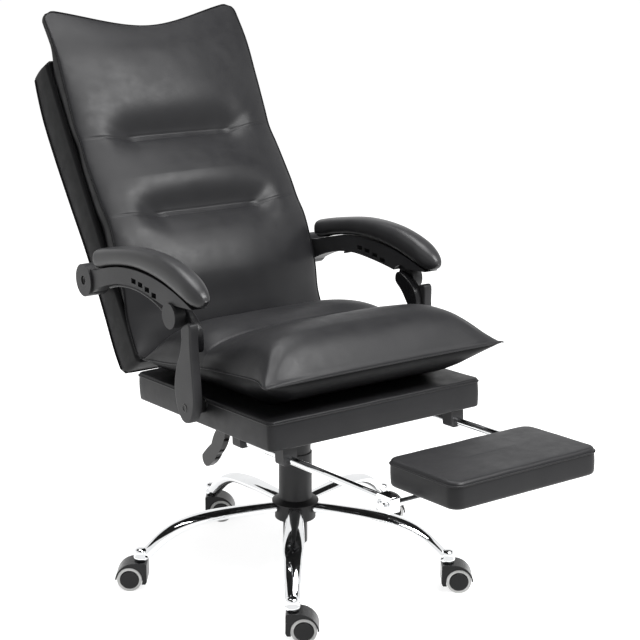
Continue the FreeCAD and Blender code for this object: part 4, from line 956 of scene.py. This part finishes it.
ARM_INNER = 251.0
ARM_OUTER = 294.0
PAD_SECTIONS = 90
PAD_NOSE_LENGTH = 62.0
PAD_REAR_LENGTH = 14.0
PAD_OVERHANG = 0.4
PAD_SAG = 0.08
LIP_SPANS = 24
LIP_RADIUS = 2.4
LIP_INSET = 5.5
LIP_RISE = 3.0
CAP_INSET = 5.2
# Heights above the boss, by place forward of it.
PAD_TOP = [
    (36, 52), (40, 68), (60, 77), (132, 93), (208, 106), (270, 110), (330, 108),
    (380, 100), (420, 88), (446, 74), (460, 61), (464, 52),
]
PAD_BOTTOM = [
    (36, 49), (44, 37), (52, 33.5), (100, 47), (150, 58), (200, 64.5), (247, 66),
    (300, 63), (350, 55), (400, 43), (430, 36), (446, 37), (458, 43), (464, 51),
]
ARM_LIP = [(112, 5), (150, 16), (204, 23), (250, 22), (300, 14), (338, 2)]


def beside(joint_name, side, way):
    """Turns places beside a joint into metres: across, along (backward where the way is 1) and up."""
    pivot = Vector(joint(joint_name)["pos_m"]) / MM

    def place(across, along, up):
        return Vector((side * across, pivot.y + way * along, pivot.z + up)) * MM

    return place


def make_arm_pad(side, hand):
    """The padded rest: a soft oval section that follows the arch and droops at its nose."""
    place = beside(f"arm_{hand}_level", side, -1)
    rear, nose = PAD_TOP[0][0], PAD_TOP[-1][0]
    middle = (ARM_INNER + ARM_OUTER) / 2
    rings = []
    for index in range(PAD_SECTIONS + 1):
        share = index / PAD_SECTIONS
        forward = rear + (nose - rear) * (0.5 - 0.5 * math.cos(math.pi * share))
        top, bottom = curve_at(PAD_TOP, forward), curve_at(PAD_BOTTOM, forward)
        from_nose = max(0.0, 1.0 - (nose - forward) / PAD_NOSE_LENGTH)
        from_rear = max(0.0, 1.0 - (forward - rear) / PAD_REAR_LENGTH)
        narrow = math.sqrt(max(0.02, 1.0 - from_nose ** 2.2)) * math.sqrt(max(0.3, 1.0 - from_rear ** 2))
        half_wide = (ARM_OUTER - ARM_INNER) / 2 * narrow + PAD_OVERHANG
        half_tall = max(1.0, (top - bottom) / 2)
        centre = (top + bottom) / 2
        ring = []
        for across, up in oval(half_wide, half_tall, squareness=2.7, sides=36):
            sag = 1.0 if up > 0.0 else 1.0 - PAD_SAG * (abs(across) / half_wide) ** 2
            ring.append(place(middle + across, forward, centre + up * sag))
        rings.append(ring)
    pad = new_object(
        f"arm_rest_{hand}", *ring_loft(rings), ARM_SKIN, f"arm_{hand}", "black_leatherette"
    )
    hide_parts(f"arm_pad_{hand}")


def make_arm_trim(side, hand):
    """The lip along the arm rail and the cap over its boss."""
    place = beside(f"arm_{hand}_level", side, -1)
    body = f"arm_{hand}"
    path = []
    for index in range(LIP_SPANS + 1):
        forward = ARM_LIP[0][0] + (ARM_LIP[-1][0] - ARM_LIP[0][0]) * index / LIP_SPANS
        path.append(place(ARM_OUTER - LIP_INSET, forward, curve_at(ARM_LIP, forward) + LIP_RISE))
    tube(f"arm_lip_{hand}", path, LIP_RADIUS, PLASTIC, body, "black_plastic")
    disc(
        f"arm_boss_cap_{hand}", place(ARM_OUTER - CAP_INSET, 0.0, 0.0) / MM, SIDEWAYS * side,
        radius=8.6, thickness=3.0, material=CAP_PLASTIC, body=body, slot="black_plastic", dish=0.6,
    )


# Struts

STRUT_OUTER = 287.0
STRUT_BLADE = 20.0
CAP_SUNK = 1.8
SEAT_SIDE = 247.0
# Side views from the bolt: places backward of it and heights above it.
STRUT_SHAPE = [
    (4, -30), (24, -16), (36, 12), (39, 40), (31, 74), (17, 104), (10, 130), (9, 156),
    (-20, 168), (-23, 130), (-27, 90), (-32, 50), (-34, 16), (-22, -20),
]
TONGUE_SHAPE = [
    (-14, 112), (4, 112), (34, 146), (56, 164), (54, 182), (38, 184), (10, 172), (-12, 150),
]


def make_strut(side, hand):
    """A tapering blade from the seat's bolt up to the knuckle, its inner tongue, spacer and bolt cap."""
    place = beside(f"strut_{hand}_swing", side, 1)
    body = f"strut_{hand}"
    blade = plate(
        f"strut_blade_{hand}", place, smooth_outline(STRUT_SHAPE, per_span=5),
        low=STRUT_OUTER - STRUT_BLADE, high=STRUT_OUTER, rounding=3.2,
        material=PLASTIC, body=body, slot="black_plastic",
    )
    plate(
        f"strut_tongue_{hand}", place, smooth_outline(TONGUE_SHAPE, per_span=4),
        low=ARM_INNER, high=ARM_INNER + STRUT_BLADE - 0.4, rounding=2.0,
        material=DARK_PLASTIC, body=body, slot="black_plastic",
    )
    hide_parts(f"strut_{hand}")
    disc(
        f"strut_spacer_{hand}", place(SEAT_SIDE, 0.0, 0.0) / MM, SIDEWAYS * side,
        radius=15.5, thickness=STRUT_OUTER - STRUT_BLADE - SEAT_SIDE,
        material=CAP_PLASTIC, body=body, slot="black_plastic",
    )
    disc(
        f"strut_cap_{hand}", place(STRUT_OUTER - CAP_SUNK, 0.0, 0.0) / MM, SIDEWAYS * side,
        radius=9.2, thickness=2.6, material=CAP_PLASTIC, body=body, slot="black_plastic", dish=0.5,
    )


# Chromed legs

LEG_COUNT = 5
LEG_SIDES = 28
LEG_SECTIONS = 48
LEG_RIDGE = 0.10
LEG_RIDGE_WIDTH = 0.22
LEG_FULLNESS = 0.92
SOCKET_SIDES = 40
# Heights of a leg's top and bottom, by reach from the middle of the base.
LEG_TOP = [(40, 151), (97, 151), (161, 149), (213, 143), (256, 131), (287, 113), (313, 90), (328, 74)]
LEG_BOTTOM = [(40, 130), (97, 130), (161, 128), (205, 124), (236, 112), (268, 94), (292, 75), (304, 63)]
# A leg's width, by share of its length.
LEG_WIDTH = [(0.0, 31), (0.35, 40), (0.6, 43), (0.8, 37), (1.0, 29)]
SOCKET_BORE = 6.0
SOCKET_RADIUS = 14.0
SOCKET_LOW = 62.0
SOCKET_HIGH = 86.0


def between(stations, share):
    """A place along a list of (reach, height) stations, as a share of its length in reach."""
    reach = stations[0][0] + (stations[-1][0] - stations[0][0]) * share
    return reach, curve_at(stations, reach)


def make_leg(number):
    """A pressed leg with a soft ridge along its crown, arching down to its caster socket."""
    foot = Vector(joint(f"caster_{number}_swivel")["pos_m"]) / MM
    foot.z = 0.0
    outward = foot.normalized()
    across = Vector((-outward.y, outward.x, 0.0))
    rings = []
    for index in range(LEG_SECTIONS + 1):
        share = index / LEG_SECTIONS
        top = Vector(between(LEG_TOP, share))
        low = Vector(between(LEG_BOTTOM, share))
        half_wide = curve_at(LEG_WIDTH, share) / 2
        ring = []
        for wide, tall in oval(half_wide, 1.0, squareness=2.3, sides=LEG_SIDES):
            ridge = 0.0
            if tall > 0.0:
                ridge = LEG_RIDGE * math.exp(-((wide / (half_wide * LEG_RIDGE_WIDTH)) ** 2))
            height = 0.5 + 0.5 * tall * (LEG_FULLNESS + ridge)
            place = low.lerp(top, height)
            ring.append((outward * place.x + across * wide + Vector((0.0, 0.0, place.y))) * MM)
        rings.append(ring)
    leg = new_object(f"leg_tube_{number}", *ring_loft(rings), CHROME, "base", "chromed_steel")
    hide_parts(f"leg_{number}")
    make_leg_socket(number, foot)


def make_leg_socket(number, foot):
    """The round socket at a leg's end, which takes the caster's stem."""
    bore, radius, low, high = SOCKET_BORE, SOCKET_RADIUS, SOCKET_LOW, SOCKET_HIGH
    profile = [
        (bore, low), (radius - 1.0, low), (radius + 0.6, low + 1.2),
        (radius + 0.6, low + 6.0), (radius - 0.8, low + 7.4), (radius - 0.8, high - 8.0),
        (radius - 3.0, high - 2.0), (bore, high - 0.6),
    ]
    name = f"leg_socket_{number}"
    turned(name, foot, Vector((0.0, 0.0, 1.0)), profile, SOCKET_SIDES, CHROME, "base", "chromed_steel")


# Wheel caps and screws

WHEEL_OUTSIDE = 21.0
WHEEL_CAP_RADIUS = 18.6
WHEEL_CAP_SUNK = 0.4
SCREW_ACROSS = 206.2
SCREW_UP = -27.0
SCREW_PLACES = (-561.0, -583.0)


def make_wheel_caps(number):
    """A black cap on the outer face of each of a caster's two wheels."""
    roll = joint(f"caster_{number}_roll")
    axle = Vector(roll["pos_m"]) / MM
    way = Vector(roll["axis"]).normalized()
    for side, hand in SIDES:
        centre = axle + way * side * (WHEEL_OUTSIDE - WHEEL_CAP_SUNK)
        disc(
            f"wheel_cap_{number}_{hand}", centre, way * side,
            radius=WHEEL_CAP_RADIUS, thickness=1.8,
            material=DARK_PLASTIC, body=f"wheels_{number}", slot="black_plastic",
        )


def make_bracket_screws():
    """Two screws with hollowed heads in the side of each footrest bracket."""
    for side, hand in SIDES:
        for number, backward in enumerate(SCREW_PLACES):
            centre = seat_place(side * SCREW_ACROSS, backward, SCREW_UP) / MM
            disc(
                f"bracket_screw_{hand}_{number}", centre, SIDEWAYS * side,
                radius=4.2, thickness=2.2, dish=0.5,
                material=ZINC, body="footrest_frame", slot="zinc_steel",
            )


# Stage and light

FLOOR_GLOW = 0.84
FLOOR_REACH = 30.0
CEILING_REACH = 4.5
CEILING_HEIGHT = 3.6
AMBIENT = 0.35
LIT_PLACE = (0.0, 0.1, 0.6)


def strength_seen(tree, others, seen_strength=1.0):
    """One strength for camera, mirror and glass rays, and another for all others."""
    rays = tree.nodes.new("ShaderNodeLightPath")
    seen = rays.outputs["Is Camera Ray"]
    for other in ("Is Glossy Ray", "Is Transmission Ray"):
        either = tree.nodes.new("ShaderNodeMath")
        either.operation = "MAXIMUM"
        tree.links.new(seen, either.inputs[0])
        tree.links.new(rays.outputs[other], either.inputs[1])
        seen = either.outputs["Value"]
    level = tree.nodes.new("ShaderNodeMapRange")
    level.inputs["To Min"].default_value = others
    level.inputs["To Max"].default_value = seen_strength
    tree.links.new(seen, level.inputs["Value"])
    return level.outputs["Result"]


def level_sheet(name, reach, height, material):
    """A level square that reaches the given number of metres each way."""
    corners = [(x * reach, y * reach, height) for x, y in ((-1, -1), (1, -1), (1, 1), (-1, 1))]
    mesh = bpy.data.meshes.new(name)
    mesh.from_pydata(corners, [], [(0, 1, 2, 3)])
    sheet = put_in_scene(name, mesh)
    mesh.materials.append(material)
    return sheet


def make_stage():
    """A white floor. It glows a little to the camera, so that only the chair's shadow is grey."""
    material, tree, shader = new_material("stage_white")
    shader.inputs["Base Color"].default_value = (0.50, 0.50, 0.50, 1.0)
    shader.inputs["Roughness"].default_value = 0.9
    shader.inputs["Specular IOR Level"].default_value = 0.0
    glow = tree.nodes.new("ShaderNodeEmission")
    shade = tree.nodes.new("ShaderNodeAddShader")
    tree.links.new(strength_seen(tree, 0.0, FLOOR_GLOW), glow.inputs["Strength"])
    tree.links.new(shader.outputs["BSDF"], shade.inputs[0])
    tree.links.new(glow.outputs["Emission"], shade.inputs[1])
    tree.links.new(shade.outputs["Shader"], tree.nodes["Material Output"].inputs["Surface"])
    floor = level_sheet("floor", FLOOR_REACH, 0.0, material)


def make_world():
    """Even ambient light; the camera, mirrors and glass see it as white."""
    world = bpy.data.worlds.new("studio")
    bpy.context.scene.world = world
    world.use_nodes = True
    tree = world.node_tree
    back = tree.nodes["Background"]
    back.inputs["Color"].default_value = (1.0, 1.0, 1.0, 1.0)
    tree.links.new(strength_seen(tree, AMBIENT), back.inputs["Strength"])


def area_light(name, place, target, size, power):
    """A rectangular lamp of the given size in metres and power in watts, turned to a target."""
    data = bpy.data.lights.new(name, "AREA")
    data.shape = "RECTANGLE"
    data.size, data.size_y = size
    data.energy = power
    lamp = put_in_scene(name, data)
    lamp.location = place
    way = Vector(target) - Vector(place)
    lamp.rotation_mode = "QUATERNION"
    lamp.rotation_quaternion = way.to_track_quat("-Z", "Y")


def make_ceiling():
    """A dark studio ceiling that only mirrors see, so that chrome has dark bands."""
    material, tree, shader = new_material("dark_ceiling")
    shader.inputs["Base Color"].default_value = (0.01, 0.01, 0.01, 1.0)
    shader.inputs["Roughness"].default_value = 1.0
    ceiling = level_sheet("ceiling", CEILING_REACH, CEILING_HEIGHT, material)
    ceiling.visible_camera = False
    ceiling.visible_diffuse = False
    ceiling.visible_shadow = False
    ceiling.visible_transmission = False


def make_lights():
    make_world()
    area_light("key", place=(0.5, -1.7, 2.9), target=LIT_PLACE, size=(2.0, 1.3), power=160.0)
    area_light("top", place=(-0.2, 0.6, 3.1), target=LIT_PLACE, size=(1.8, 1.8), power=80.0)


bpy.context.scene.view_settings.view_transform = "Standard"
make_camera()
make_stage()
make_ceiling()
make_lights()

dress(PLASTIC, "hub", "cover_lower", "cover_middle", "cover_upper", "rail_guides")
dress(PLASTIC, "arm_rail_left", "arm_rail_right")
dress(CHROME, "footrest_rails", "footrest_brackets", "footrest_crossbar")
dress(PAINTED_STEEL, "mechanism_tray", "hinge_feet", "back_brackets", "footrest_hinge_arms")
dress(PAINTED_STEEL, "gas_outer_tube", "gas_inner_tube", "lever_rod")
dress(ZINC, "piston_rod", "thrust_bearing", "seat_bolts", "arm_bolts", "hinge_pins", "release_pin")
dress(GLOSS_PLASTIC, "lever_grip")
dress(NYLON, "guide_bush")
dress(PLY, "seat_panel")
cover_underside("seat_panel")
for name in ("arm_rail_left", "arm_rail_right", "hub", "lever_grip", "rail_guides", "footrest_brackets"):
    soften(frame["nodes"][name], width=1.2)
for number in range(1, LEG_COUNT + 1):
    soften(frame["nodes"][f"caster_{number}_hood"], width=1.6)
    soften(frame["nodes"][f"caster_{number}_tyres"], width=2.0)
    soften(frame["nodes"][f"caster_{number}_wheels"], width=1.2)
    dress(DARK_PLASTIC, f"caster_{number}_hood", f"caster_{number}_wheels")
    dress(TYRE, f"caster_{number}_tyres")
    dress(ZINC, f"caster_{number}_pins")

make_box_cushion(
    "seat_box_cover", "seat_box", "seat", foot=(0.0, -37.25, 0.0), size=(489.0, 502.0, 57.0),
    corner=13.0, edge=4.0, side_bulge=2.0, top_crown=0.0, seam_up=51.0, seed=11,
)
make_box_cushion(
    "footrest_cushion", "footrest_pad", "footrest", foot=(0.0, -611.0, -19.6), size=(320.0, 186.0, 49.0),
    corner=22.0, edge=7.0, side_bulge=1.5, top_crown=2.0, seam_up=41.0, seed=12,
)
make_back_shell()
make_back_cushion()
make_seat_pillow()
for number in range(1, LEG_COUNT + 1):
    make_leg(number)
    make_wheel_caps(number)
for side, hand in SIDES:
    make_arm_pad(side, hand)
    make_arm_trim(side, hand)
    make_strut(side, hand)
make_bracket_screws()
